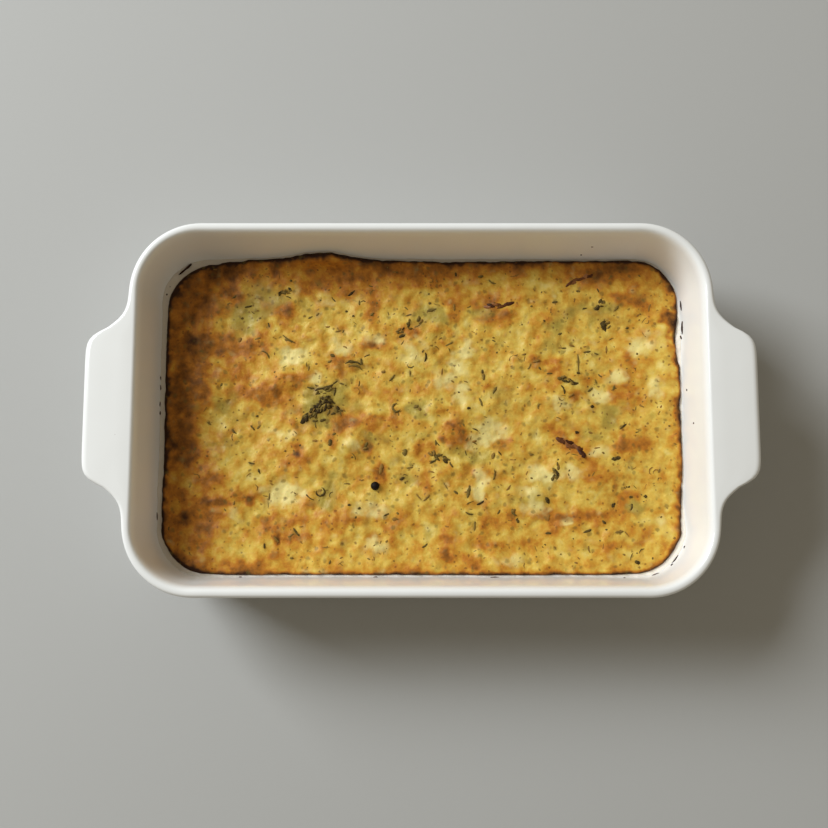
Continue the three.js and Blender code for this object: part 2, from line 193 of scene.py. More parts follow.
# Browned swells and pale hollows of the top, with their height
SWELLS = [
    Patch("crust up the back wall", (-46, 81), (15, 6), 0, 4.6),
    Patch("dark blister, upper left", (-112, 35), (11, 8), 20, 1.5),
    Patch("dark blister, left", (-110, 13), (12, 8), -10, 1.6),
    Patch("browned ridge", (-71, 15), (17, 7), 22, 1.7),
    Patch("orange blister", (-66, 52), (7, 6), 0, 1.2),
    Patch("back ridge", (-27, 54), (9, 7), 40, 1.2),
    Patch("rise under the herb clump", (-49, 6), (11, 8), 15, 1.2),
    Patch("middle ridge", (-21, -4), (14, 6), 5, 1.3),
    Patch("small lump", (-34, -16), (5, 4.4), 0, 1.5),
    Patch("left blister", (-59, -24), (9, 7), 30, 1.2),
    Patch("front left rise", (-98, -40), (13, 16), 15, 1.4),
    Patch("front blister", (-40, -51), (11, 8), 0, 1.2),
    Patch("central blister", (17, -8), (9, 8), 60, 1.3),
    Patch("front edge rise", (8, -70), (20, 7), 0, 1.1),
    Patch("right blister", (104, -4), (8, 15), 5, 1.3),
    Patch("right front rise", (88, -32), (9, 8), 0, 1.1),
    Patch("front right ridge", (92, -57), (18, 7), -8, 1.2),
    Patch("back right rise", (96, 62), (20, 9), -15, 1.2),
    Patch("right edge rise", (121, 14), (8, 26), 0, 1.1),
    Patch("left hollow", (-64, 29), (11, 6), 15, -1.4),
    Patch("front left hollow", (-67, -40), (10, 8), 20, -1.3),
    Patch("front hollow", (28, -40), (8, 9), 0, -1.1),
    Patch("right front hollow", (60, -27), (9, 7), -30, -1.2),
    Patch("middle hollow", (36, -9), (10, 6), 40, -1.1),
    Patch("upper middle hollow", (17, 24), (8, 13), 0, -1.0),
    Patch("right hollow", (91, 12), (8, 9), 0, -1.1),
    Patch("left edge, sunk", (-131, 0), (12, 52), 0, -1.8),
]

# Gentle unevenness of the whole top
WAVES = [
    Wave(61, 17, 0.6, 0.45),
    Wave(43, 104, 2.1, 0.4),
    Wave(29, 58, 4.0, 0.3),
    Wave(23, -37, 1.2, 0.25),
]

# Layers of noise, each with its weight, the size of its lumps and its seed
SURFACE_LUMPS = [Octave(0.75, 5.5, 1.7), Octave(0.26, 3, 9.4), Octave(0.07, 1.6, 4.1)]
EDGE_RAGS = [Octave(1, 8, 13), Octave(0.5, 3, 17)]
EDGE_MOTTLE = [Octave(0.5, 9, 23)]
BAKING_MOTTLE = [Octave(0.17, 9, 71), Octave(0.15, 4.2, 73)]
PALE_MOTTLE = [Octave(0.65, 5, 81)]
OLIVE_MOTTLE = [Octave(0.75, 7, 91)]
PATCH_WARP_X = [Octave(2.4, 6, 51), Octave(1.4, 2.4, 55)]
PATCH_WARP_Y = [Octave(2.4, 6, 61), Octave(1.4, 2.4, 65)]

# Places where the shrunken edge has drawn back from the wall
DRAWN_BACK = [
    Place("right edge notch", (131, 38), 9, 2.8),
    Place("back left corner", (-121, 71), 20, 4.2),
    Place("front left corner", (-121, -72), 16, 2.2),
    Place("front right corner", (121, -68), 20, 2.6),
    Place("back edge", (20, 80), 34, 0.9),
    Place("left edge, back", (-131, 28), 34, 2.1),
    Place("left edge, front", (-131, -30), 34, 2.1),
]

# Toasted skin, orange to brown. The broad patches by the left and back walls are partly browning and partly
# painted shade of those walls
BROWNED_AND_SHADE = [
    Patch("back left edge", (-96, 75), (8, 4), 0, 0.9),
    Patch("orange blister", (-68, 52), (4.5, 4.5), 20, 1.0),
    Patch("tan streak, left", (-95, 35), (15, 6), 5, 0.9),
    Patch("upper left blister", (-109, 51), (6, 6), 0, 0.8),
    Patch("long ridge, right end", (-65, 17), (11, 5), 22, 1.0),
    Patch("long ridge, left end", (-80, 9), (12, 5), -12, 1.15),
    # The next two patches, along the back wall, are partly browning, partly painted shade of the back wall
    Patch("back band, left", (-30, 72), (18, 7), 0, 0.45),
    Patch("back band, middle", (-2, 70), (22, 6), 0, 0.45),
    Patch("back ridge", (-25, 54), (4.5, 8), -10, 0.85),
    Patch("back ridge foot", (-23, 36), (6, 3), 0, 0.8),
    Patch("orange dab, middle", (10, 35), (3.5, 3.2), 0, 0.7),
    Patch("golden streak behind", (24, 58), (9, 4), 0, 0.6),
    Patch("beside the onion arc", (17, 52), (3, 5), 0, 0.7),
    Patch("dab by the clump", (-31, 13), (4, 4), 0, 0.6),
    Patch("toasted dab", (-16, 11), (4, 3), 0, 0.5),
    Patch("light dab", (4, 20), (4, 3), 0, 0.45),
    Patch("back right strand bed", (93, 71), (12, 5), 10, 0.85),
    Patch("back right streak", (102, 59), (9, 3), -6, 0.95),
    Patch("beside the herb leaf", (65, 49), (3, 6), 0, 0.75),
    Patch("right of the herb leaf", (112, 51), (8, 6), 0, 0.65),
    Patch("right upright streak", (105, 24), (3, 8), 0, 0.7),
    Patch("right blister", (103, 8), (7, 6), 0, 0.9),
    Patch("small orange dab", (84, 17), (4, 2.4), 0, 0.7),
    Patch("red streak", (65, 28), (5, 2), 0, 0.7),
    Patch("red fleck", (76, 9), (3, 1.8), 20, 0.8),
    Patch("left edge blister", (-120, -15), (7, 9), 0, 0.6),
    Patch("left front blister", (-105, -32), (5, 8), 10, 1.0),
    Patch("front left red patch", (-106, -50), (9, 7), 0, 1.0),
    Patch("front left streak", (-94, -42), (11, 2.6), 4, 0.85),
    Patch("left middle blister", (-63, -22), (7, 5.4), 15, 1.0),
    Patch("front band, left", (-68, -53), (12, 4.4), 3, 0.9),
    Patch("front left rim", (-80, -75), (14, 3.4), 0, 0.9),
    Patch("under the clump", (-41, -1), (5, 4), 0, 0.85),
    Patch("middle band", (-27, -4), (15, 4), 3, 0.9),
    Patch("front blister", (-41, -52.5), (6, 4.6), 0, 1.05),
    Patch("central blister", (18, -8), (5, 6.4), 0, 1.05),
    Patch("orange dab, centre", (2, -19), (5, 5), 0, 0.75),
    Patch("pink dab, centre", (2, -35), (3, 3.6), 0, 0.65),
    Patch("front upright streak", (12, -64), (4, 7), 0, 0.85),
    Patch("front rim, middle", (-4, -76), (9, 2.4), 0, 0.6),
    Patch("front dab", (31, -64), (7, 3), 0, 0.75),
    Patch("right front blister", (105, -14), (6.4, 5.6), 0, 0.95),
    Patch("right orange patch", (86, -30), (7.4, 6.4), 0, 0.5),
    Patch("right pink patch", (102, -40), (6, 4), 0, 0.8),
    Patch("front right band, left", (66, -50), (8.6, 2.8), -4, 0.95),
    Patch("front right band", (86, -51), (13, 2.8), 4, 0.9),
    Patch("front right streak", (92, -66), (6, 2.8), 8, 0.9),
    Patch("front corner streak", (111, -60), (5, 2.4), 45, 0.75),
    Patch("right edge dab", (128, -2), (2.4, 5), 0, 0.6),
    Patch("front middle dab", (51, -65), (8, 4), 0, 0.6),
    Patch("front strip", (-38, -67), (12, 3), 0, 0.5),
    Patch("middle dab", (28, -27), (8, 3.4), 0, 0.45),
    # The next two patches, by the back left corner, are partly browning, partly painted shade of the back and
    # left walls
    Patch("back left tint, right", (-78, 61), (16, 7), 4, 0.55),
    Patch("back left tint, left", (-97, 58), (7, 6), 0, 0.8),
    Patch("behind the orange blister", (-53, 65), (5, 5), 0, 0.85),
    Patch("above the orange blister", (-80, 55), (5, 4), 0, 0.5),
    Patch("beside the dark dab, back", (-34, 30.5), (4.4, 4), 0, 0.6),
    Patch("under the onion arc, front", (38, 49), (5, 4), 0, 0.75),
    Patch("behind the curds", (13, 59), (5, 4), 0, 0.6),
    Patch("right back corner dab", (107, 65.6), (5, 4), 0, 0.8),
    Patch("left of the onion shred", (42, -15), (4, 4), 0, 0.6),
    Patch("right of the onion shred", (101, -19), (5, 5), 0, 0.7),
    Patch("front middle dab", (22.6, -43.3), (4.4, 4), 0, 0.6),
    Patch("behind the front blister", (-51, -47), (4.4, 3.4), 0, 0.7),
    Patch("front left corner tint", (-106.6, -61), (5, 5), 0, 0.75),
    Patch("beside the tan streak", (-82, 32), (6, 4), 0, 0.75),
    Patch("below the tan streak", (-92, 21), (6, 5), 0, 0.85),
    Patch("front right corner dab", (126, -51), (2.6, 6), 0, 0.7),
    Patch("front right dab, upper", (98, -47), (5, 4), 0, 0.6),
    Patch("front rim, left of the middle", (-20, -59), (5, 4), 0, 0.5),
    Patch("right of the clump's tail", (-27, -21), (4, 4), 0, 0.6),
    Patch("left middle dab", (-103, -18.7), (5, 4), 0, 0.6),
    Patch("under the long twig", (-64, 40), (4, 3), -30, 0.6),
    Patch("left of the clump", (-61, -4), (4.4, 5), 0, 0.9),
    Patch("before the herb row", (66, 14), (5, 4), 0, 0.6),
    Patch("by the bean", (55, 25), (5, 4), 0, 0.7),
    Patch("behind the onion arc", (39, 59), (7, 4), 0, 0.75),
    Patch("right back dab", (102, 31), (4, 4), 0, 0.7),
    Patch("back tint by the twig", (-36, 63), (8, 4), 0, 0.8),
    Patch("beside the grey shred", (-44, 27), (6, 3.4), 0, 0.8),
    Patch("back sprig bed", (-6, 42), (8, 4), 24, 0.95),
    Patch("under the onion arc", (36, 51.5), (8, 3.4), 0, 0.75),
    Patch("under the right onion shred", (72, -14), (10, 4.4), -36, 0.95),
    Patch("front left streak by the curls", (-62, -61), (9, 4), 0, 0.85),
    Patch("below the clump", (-45, -11), (4, 3), 0, 0.7),
    Patch("left dab", (-78, -12), (5, 4), 0, 0.5),
    Patch("smear behind the peppercorn", (-20, -28), (2.6, 4.4), 0, 1.1),
    Patch("front dab, middle", (-13, -54), (6, 4), 0, 0.7),
    Patch("front rim dab", (20, -72), (8, 3.4), 0, 0.75),
    Patch("front leaf halo", (40, -53), (7, 5), 0, 0.9),
    Patch("front right dab", (68, -57), (6, 3.4), 0, 0.75),
    # The last three patches, along the left edge, are partly browning, partly painted shade of the left wall
    Patch("left back tint", (-112, 62), (12, 8), 40, 0.55),
    Patch("left middle tint", (-116, 0), (10, 22), 0, 0.35),
    Patch("left tint", (-106, 28), (14, 18), 0, 0.35),
]

# Moist pale curd that the heat has not coloured
PALE = [
    Patch("dab in the tan streak", (-96, 31), (2.6, 2), 0, 0.4),
    Patch("left curd", (-65, 29), (6.4, 4), 20, 1.1),
    Patch("dab above the clump", (-53, 18), (2.4, 3), 0, 0.9),
    Patch("smooth curd, back", (-5, 32), (7, 6.6), 0, 0.7),
    Patch("middle curd", (18, 26), (4.4, 5), 0, 0.8),
    Patch("middle curd, upper", (23, 33), (3, 6), 0, 0.8),
    Patch("middle curd, lower", (21, 11), (3.4, 8), 0, 0.75),
    Patch("right curd, upper", (109, 35), (5.4, 5), 0, 0.8),
    Patch("right edge curd", (118, 38), (5.4, 5.6), 0, 0.6),
    Patch("grey curd, right", (99, 19), (5, 3.6), 0, 0.9),
    Patch("bright curd, right", (89, 9), (6, 3.4), 10, 1.0),
    Patch("front left curd", (-68, -39), (8.4, 6), 10, 1.15),
    Patch("left curd, lower", (-67, -10), (5.4, 3.4), 0, 0.8),
    Patch("centre curd", (35, -8), (7, 5.4), 30, 1.0),
    Patch("front upright curd", (29, -36), (3.6, 7.6), 0, 1.15),
    Patch("right front curd", (59, -29), (7.4, 4), -10, 1.05),
    Patch("curd by the purple strand", (88, -19), (5, 3.6), 0, 0.7),
    Patch("pearl in the front band", (72, -53), (2.7, 2.5), 0, 1.2),
    Patch("front right corner curd", (119, -54), (3.4, 5), 0, 0.5),
    Patch("grey dab, front left", (-91, -50), (4, 3.6), 0, 0.4),
    Patch("light patch by the curl", (-40, 36), (6, 7), 0, 0.55),
    Patch("front curd", (52, -38), (6, 3.4), -10, 0.7),
    Patch("strip by the front right band", (74, -29), (5, 4.4), 0, 0.7),
    Patch("front rim curd", (-21, -65), (6, 4), 0, 0.75),
    Patch("before the row of herbs", (70, 5), (4, 3.4), 0, 0.7),
    Patch("right edge curd", (117, 12), (4.4, 6), 0, 0.75),
    Patch("back middle curd", (-22, 38), (5, 4), 0, 0.6),
    Patch("front rim curd, right", (44, -72), (5, 4), 0, 0.7),
    Patch("back light patch", (-46, 58), (12, 4), 0, 0.3),
    Patch("light strip behind the front blister", (-25, -48), (8, 4.4), 0, 0.85),
    Patch("light patch, front right", (56, -46), (6, 4.4), 0, 0.8),
    Patch("light patch, middle", (13, 17.5), (6, 5), 0, 0.75),
    Patch("light patch beside the central blister", (25, -14), (5, 3.6), 0, 0.7),
    Patch("lump's crown", (-34.5, -15), (3.4, 3), 0, 0.6),
]

# Moist places where onion and herb tint the egg olive; the two upper left patches are partly olive egg and
# partly painted shade of the back and left walls
OLIVE_AND_SHADE = [
    # The next two patches are partly olive egg, partly painted shade of the back and left walls
    Patch("upper left", (-88, 47), (8, 8), 0, 0.9),
    Patch("upper left, back", (-79, 58), (16, 7), 0, 0.85),
    Patch("bed of the grey blob", (31, 51), (5, 3.4), 0, 1.0),
    Patch("ring's bed", (-47, -41), (5, 4.4), 0, 0.9),
    Patch("soft blob's bed", (-1, 2.4), (5, 4.4), 0, 1.1),
    Patch("before the front band", (63, -33.5), (4, 3.4), 0, 0.7),
    Patch("left of the peppercorn", (-43, -30.5), (4.4, 4), 0, 0.8),
    Patch("beside the back sprig", (9, 49.6), (5, 4), 0, 0.9),
    Patch("right back bed", (67, 37), (6, 5), 0, 0.8),
    Patch("left, upper", (-98, 4), (8, 6), 0, 0.8),
    Patch("left, lower", (-98, -14), (8, 5), 0, 0.7),
    Patch("back sprig bed", (4, 50), (9, 6), 30, 0.7),
    Patch("beside the small lump", (-22, -14), (7, 6), 0, 0.5),
    Patch("middle right", (40, 10), (9, 6), 0, 0.5),
    Patch("right", (94, 0), (8, 5), 0, 0.7),
    Patch("front right", (104, -46), (4.6, 4), 0, 1.0),
    Patch("centre", (25, -22), (10, 4), 0, 0.7),
    Patch("front centre", (-8, -33), (8, 4), 0, 0.6),
    Patch("back right, left", (72, 50), (7, 7), 0, 0.6),
    Patch("back right", (90, 54), (9, 8), 0, 0.7),
    Patch("front leaf bed", (54, -43), (9, 4), 0, 0.7),
    Patch("clump bed", (-49, 5), (13, 10), 35, 1.1),
    Patch("right, under the curd", (88, -8), (12, 5), 0, 0.5),
]

# Scorched spots; the one beside the small lump is partly scorch, partly painted shadow of the lump
BURNT = [
    Patch("upper left scorch", (-115, 38), (6.0, 2.8), 0, 0.8),
    Patch("upper left scorch, lower", (-111, 31), (7.4, 5), 0, 0.4),
    Patch("left scorch", (-111, 14), (7.6, 6), 0, 0.8),
    Patch("front left scorch", (-117, -52), (4, 4), 0, 0.7),
    Patch("front left corner scorch", (-116, -70), (4, 3), -40, 0.7),
    Patch("back purple scorch", (-73, 74), (4.6, 3.4), 20, 0.9),
    Patch("right notch scorch", (123, 49), (3.6, 3.2), 0, 1.4),
    Patch("right notch edge", (127.5, 44), (2.4, 9), 0, 0.7),
    Patch("front left spot", (-85, -43), (2.4, 1.8), 0, 0.8),
    Patch("front left streak", (-90, -37), (1.6, 3.4), 0, 0.7),
    # Dark spot on the small lump's right: partly scorch, partly painted shadow of the lump
    Patch("beside the small lump", (-27, -16), (2.2, 2.6), 30, 0.9),
    Patch("central spot", (15, -5), (1.8, 1.8), 0, 0.8),
    Patch("central spot, lower", (11, -12), (1.8, 1.8), 0, 0.8),
    Patch("front streak", (-71, -61), (1.6, 4.6), -20, 0.7),
    Patch("front rim spot", (28, -74), (2.4, 1.8), 0, 0.8),
    Patch("back ridge spot", (-24, 35), (1.6, 1.4), 0, 0.7),
    Patch("left blister spot", (-62, -20), (2, 1.6), 0, 0.7),
]

# Herb clump, leaves and shreds that are larger than the scattered flakes
TOPPINGS = [
    Topping("herb clump, middle", (-49.5, 4), (13, 5.4), 36),
    Topping("herb clump, left", (-54.5, 0), (8, 3.6), 30),
    Topping("herb clump, back", (-47, 12), (10, 2.6), 16),
    Topping("herb clump, right", (-43.5, 3.4), (7, 2.4), -24),
    Topping("back herb sprig", (-4, 46), (9, 4), 28),
    Topping("back herb sprig end", (-10, 42), (5, 3), 30),
    Topping("back left herbs", (-69, 63), (7, 4), 10),
    Topping("herb leaf", (66.5, -29), (9, 3.2), 80),
    Topping("front herb leaf", (46.7, -50), (6.5, 2.6), -72),
    Topping("herb row", (74, 17), (11, 3), -12),
    Topping("right herb leaf", (94, 46), (5.5, 4), 60),
    Topping("right herb pair", (90.5, 56), (5, 3.4), 30),
    Topping("middle herbs", (9, -21), (9, 3.6), -20),
]

ONION_SHREDS = [
    Topping("onion shred, back", (39, 55.5), (14, 3), 0),
    Topping("onion shred, back right", (80, 68.5), (13, 2.8), 20),
    Topping("onion shred, right", (75, -15.5), (15, 3.8), -36),
]

PEPPERCORN = Topping("peppercorn", (-22.6, -35.6), (4.4, 4.2), 0)

# Scraps that baked on to the inner wall, with their height above the table
WALL_SCRAPS = [
    Scrap("left bit, upper", (-131, 18.2), 27.6, 2.8, 1.8, 40),
    Scrap("left bit, middle", (-131, 13.5), 27.4, 3.4, 1.6, 20),
    Scrap("left bit, lower", (-131, 5.4), 27.8, 2.6, 1.6, 0),
    Scrap("left bit, lowest", (-131, 1), 27.4, 2.0, 1.2, 0),
    Scrap("front left streak", (-129.5, -50.5), 27.4, 4.2, 1.2, 10),
    Scrap("right arc, back", (131, 55), 31.0, 5.8, 1.6, 12),
    Scrap("right arc, front", (131, 43.5), 31.6, 7.0, 2.4, -5),
    Scrap("right arc, end", (131, 39), 29.6, 3.4, 1.2, 50),
    Scrap("right dot", (131, 11.4), 35.2, 1.2, 0.9, 0),
    Scrap("right dot, higher", (132, -6), 42.6, 0.9, 0.7, 0),
    Scrap("front right crumb", (123.4, -70.6), 29.4, 6.4, 1.6, 6),
    Scrap("front right crumb, upper", (127.3, -65), 31.5, 1.6, 0.9, 0),
    Scrap("front right crumb, front", (121.5, -73.3), 31.4, 1.7, 1.0, 20),
    Scrap("front right shred", (114, -77.7), 30.8, 4.4, 0.9, -6),
    Scrap("front dot", (98.8, -80.5), 32.6, 1.2, 0.9, 0),
    Scrap("back dot", (84.9, 82), 42.7, 1.3, 0.8, 0),
    Scrap("back dot, lower", (80.8, 80.6), 33.1, 1.0, 0.7, 0),
    Scrap("front shred, right", (36, -80), 30.8, 4.6, 1.2, 5),
    Scrap("front shred, middle", (-22.2, -80.3), 30.4, 2.4, 1.0, 0),
    Scrap("front shred, left", (-88, -80.2), 30.4, 1.6, 0.9, 0),
]

# Scraps that lie flat on the egg film at the back left corner
FILM_SCRAPS = [
    Scrap("long streak", (-119.6, 74.1), 28.1, 8.2, 1.1, 44),
    Scrap("streak's thick end", (-117.5, 76), 28.4, 3.6, 1.6, 42),
    Scrap("dot", (-127, 65.6), 28.1, 1.7, 1.2, 60),
    Scrap("dot by the left edge", (-128.4, 61.4), 28.1, 1.2, 0.9, 80),
]

# Herbs that stand out, by area: place, length, width, turn and bend in degrees, and tint, darkest when lowest
HERBS_BACK_LEFT = [
    Herb(-94, 60, 2.8, 0.9, 40, 10, 0.2),
    Herb(-90, 49, 1.6, 1.2, 0, 0, 0.3),
    Herb(-87, 55, 4.0, 0.8, 15, 20, 0.1),
    Herb(-81, 49, 1.4, 1.0, 0, 0, 0.6),
    Herb(-76.5, 45.5, 3.0, 0.9, -70, 20, 0.2),
    Herb(-66.4, 38, 8.0, 0.7, -33, 30, 0.3),
    Herb(-77.3, 31, 6.4, 0.7, -45, -90, 0.3),
    Herb(-91, 38, 2.6, 1.6, 60, 0, 0.8),
    Herb(-56, 23.6, 3.4, 0.7, 90, 10, 0.7),
    Herb(-37.5, 52.6, 1.5, 1.1, 0, 0, 0.2),
    Herb(-34, 50, 1.4, 1.1, 0, 0, 0.3),
    Herb(-35, 62, 5.0, 1.3, 35, 10, 0.0),
    Herb(-31, 57, 2.6, 0.8, 90, 10, 0.5),
    Herb(-41.5, 42.4, 3.0, 0.9, 20, 20, 0.7),
    Herb(-52, 51, 2.2, 0.9, 50, 0, 0.6),
]
HERBS_MIDDLE = [
    Herb(4.6, 56.7, 1.5, 1.2, 0, 0, 0.4),
    Herb(17, 54.7, 4.0, 1.0, 90, 15, 0.8),
    Herb(17.8, 71.7, 3.4, 1.4, 90, 0, 0.1),
    Herb(30.4, 70.6, 3.0, 1.2, 10, 10, 0.4),
    Herb(36, 67.5, 4.6, 1.0, -30, 60, 0.5),
    Herb(2.6, 29, 5.0, 0.9, 85, 60, 0.0),
    Herb(-18.8, 21.6, 2.0, 1.4, 0, 0, 0.8),
    Herb(-5.4, 21, 2.8, 0.9, 90, 10, 0.5),
    Herb(-14.3, 18.5, 4.4, 0.9, 50, 25, 0.4),
    Herb(-44.3, 29.9, 2.6, 1.3, -30, 0, 0.3),
    Herb(-45.6, 26.9, 2.6, 1.2, 30, 0, 0.6),
    Herb(-27.1, -15.0, 3.0, 1.9, 60, 0, 0.4),
    Herb(-27.6, -17.0, 2.6, 1.5, 20, 0, 0.7),
    Herb(-43.0, -9.8, 2.0, 1.5, 20, 0, 0.4),
    Herb(-52.3, -13.3, 3.2, 1.2, 0, 0, 0.9),
    Herb(31.5, 19.2, 3.6, 1.4, 85, 0, 0.6),
    Herb(23.9, 3, 1.9, 1.4, 0, 0, 0.0),
    Herb(31, 22, 2.2, 1.2, 90, 0, 0.2),
    Herb(37, 12.5, 4.6, 1.1, 60, -20, 0.4),
    Herb(-2.4, 4.0, 2.8, 1.8, 30, 0, 0.5),
    Herb(-0.6, 2.8, 2.6, 1.8, -30, 0, 0.7),
    Herb(-9.4, 39.8, 3.6, 2.2, 20, 0, 0.1),
    Herb(-1.4, 45, 4.6, 1.0, 30, 40, 0.6),
    Herb(5.6, 53, 5.2, 1.6, 12, 10, 0.4),
    Herb(-34.0, 26.8, 9.0, 1.3, 178, 80, 0.2),
    Herb(-32.6, 24.8, 8.0, 1.1, 168, 100, 0.6),
    Herb(-29.8, 26.8, 3.6, 1.1, -80, 0, 0.3),
    Herb(-13.8, 2.6, 9.0, 1.0, -62, 250, 0.4),
    Herb(-24.5, 51, 2.4, 1.0, 40, 0, 0.4),
]
HERBS_BACK_RIGHT = [
    Herb(67.5, 57, 2.8, 1.3, 10, 0, 0.3),
    Herb(89, 54.4, 3.4, 2.4, 40, 0, 0.1),
    Herb(92.4, 45.8, 5.0, 3.2, 75, 0, 0.1),
    Herb(98.6, 53.9, 3.6, 1.4, 50, 0, 0.6),
    Herb(70, 41, 2.4, 1.2, 20, 0, 0.3),
    Herb(76, 35, 3.0, 1.2, -20, 0, 0.8),
    Herb(83.5, 31.7, 4.0, 1.0, 10, 20, 0.3),
    Herb(88, 30.7, 2.4, 0.9, -20, 0, 0.3),
    Herb(79.0, 27.0, 10.5, 0.7, 90, 8, 0.5),
    Herb(78.8, 21, 1.7, 1.3, 0, 0, 0.1),
    Herb(58, 27, 4.0, 1.3, 15, 0, 0.8),
    Herb(54.5, 24, 3.2, 0.9, 60, 60, 0.6),
    Herb(64.4, 20.6, 3.0, 0.9, 5, 0, 0.2),
    Herb(71.8, 17, 4.2, 1.5, -25, 10, 0.2),
    Herb(77, 15.5, 4.2, 1.5, 10, 10, 0.1),
    Herb(75, 9.5, 3.4, 1.0, 35, 0, 0.9),
    Herb(84.6, 12.5, 4.0, 1.2, 40, 0, 0.4),
    Herb(96.6, 13.5, 3.0, 1.2, 70, 0, 0.4),
    Herb(85.5, 4, 1.9, 1.4, 0, 0, 0.0),
    Herb(112, 58, 2.6, 0.9, -40, 0, 0.7),
    Herb(104, 44, 2.0, 1.1, 20, 0, 0.3),
]
HERBS_FRONT_LEFT = [
    Herb(-105.5, -4.5, 2.4, 1.0, -30, 0, 0.5),
    Herb(-93, -8.5, 3.4, 0.9, -45, 20, 0.3),
    Herb(-44.9, -14.2, 3.4, 2.6, 80, 0, 0.2),
    Herb(-84, -24.4, 3.4, 1.0, -15, 30, 0.2),
    Herb(-80, -28.4, 3.0, 1.0, -70, 0, 0.2),
    Herb(-75, -41, 12.0, 0.6, 87, 15, 0.3),
    Herb(-61, -58.8, 6.4, 1.2, -50, 25, 0.2),
    Herb(-71, -62, 4.0, 1.2, -45, 0, 0.7),
    Herb(-76.7, -65, 2.8, 0.9, 90, 0, 0.2),
    Herb(-63.4, -71, 1.8, 1.1, 0, 0, 0.5),
    Herb(-48.6, -40.2, 10.0, 0.9, 30, 270, 0.1),
    Herb(-35.3, -45, 1.6, 1.2, 0, 0, 0.2),
    Herb(-30.4, -46.6, 1.7, 1.2, 30, 0, 0.1),
    Herb(-64, -60, 3.4, 1.0, 30, 30, 0.6),
    Herb(-92, -44, 2.4, 1.0, 80, 0, 0.7),
]
HERBS_FRONT = [
    Herb(-12.7, -52, 3.2, 1.5, 5, 0, 0.8),
    Herb(-7.8, -18.9, 3.6, 2.2, 80, 0, 0.5),
    Herb(-19.6, -27.0, 5.6, 2.0, 80, 20, 0.9),
    Herb(-5.4, -26.4, 4.0, 0.9, 10, 20, 0.6),
    Herb(-9.3, -31.8, 2.8, 1.6, 20, 0, 0.1),
    Herb(-1, -41, 4.4, 0.9, -50, 0, 0.8),
    Herb(3, -41.4, 4.4, 0.9, 45, 0, 0.7),
    Herb(12.4, -35.8, 10.0, 0.5, -60, 10, 0.6),
    Herb(8.5, -20.5, 5.0, 1.2, 5, 40, 0.3),
    Herb(12.9, -22.4, 5.0, 1.2, -15, 30, 0.4),
    Herb(6, -23.5, 3.6, 1.1, 30, 0, 0.2),
    Herb(24, -49.5, 5.0, 0.9, -10, 80, 0.3),
    Herb(26.5, -55.4, 5.0, 0.9, 85, 10, 0.5),
    Herb(29.5, -44, 5.0, 1.1, 30, 20, 0.0),
    Herb(23.6, -38.7, 7.0, 1.5, 80, 10, 0.4),
    Herb(36.5, -30.4, 6.2, 0.7, 80, 55, 0.4),
    Herb(36, -20.5, 3.4, 1.6, 75, 0, 0.7),
    Herb(55, -20, 2.0, 1.1, 0, 0, 0.6),
]
HERBS_FRONT_RIGHT = [
    Herb(77.7, -9, 1.9, 1.3, 0, 0, 0.0),
    Herb(100.6, -6, 4.4, 1.0, 38, 0, 0.2),
    Herb(96.8, -22, 5.0, 1.9, 8, 0, 0.1),
    Herb(62.4, -42.7, 3.8, 1.9, -60, 0, 0.1),
    Herb(95, -45, 3.4, 2.2, 50, 0, 0.1),
    Herb(90, -53.4, 2.4, 1.4, -40, 0, 0.1),
    Herb(81.8, -57.8, 4.4, 1.2, 22, 0, 0.2),
    Herb(62.7, -58.8, 3.0, 1.2, 5, 0, 0.2),
    Herb(97.4, -58.3, 4.6, 1.4, 10, 0, 0.7),
    Herb(103.7, -41, 2.0, 1.2, 0, 0, 0.2),
    Herb(111, -40.7, 2.0, 1.3, 0, 0, 0.1),
    Herb(106, -73, 2.8, 1.8, -20, 0, 0.1),
    Herb(118, -28, 2.0, 0.9, 70, 0, 0.6),
]
HERBS = [
    *HERBS_BACK_LEFT,
    *HERBS_MIDDLE,
    *HERBS_BACK_RIGHT,
    *HERBS_FRONT_LEFT,
    *HERBS_FRONT,
    *HERBS_FRONT_RIGHT,
]

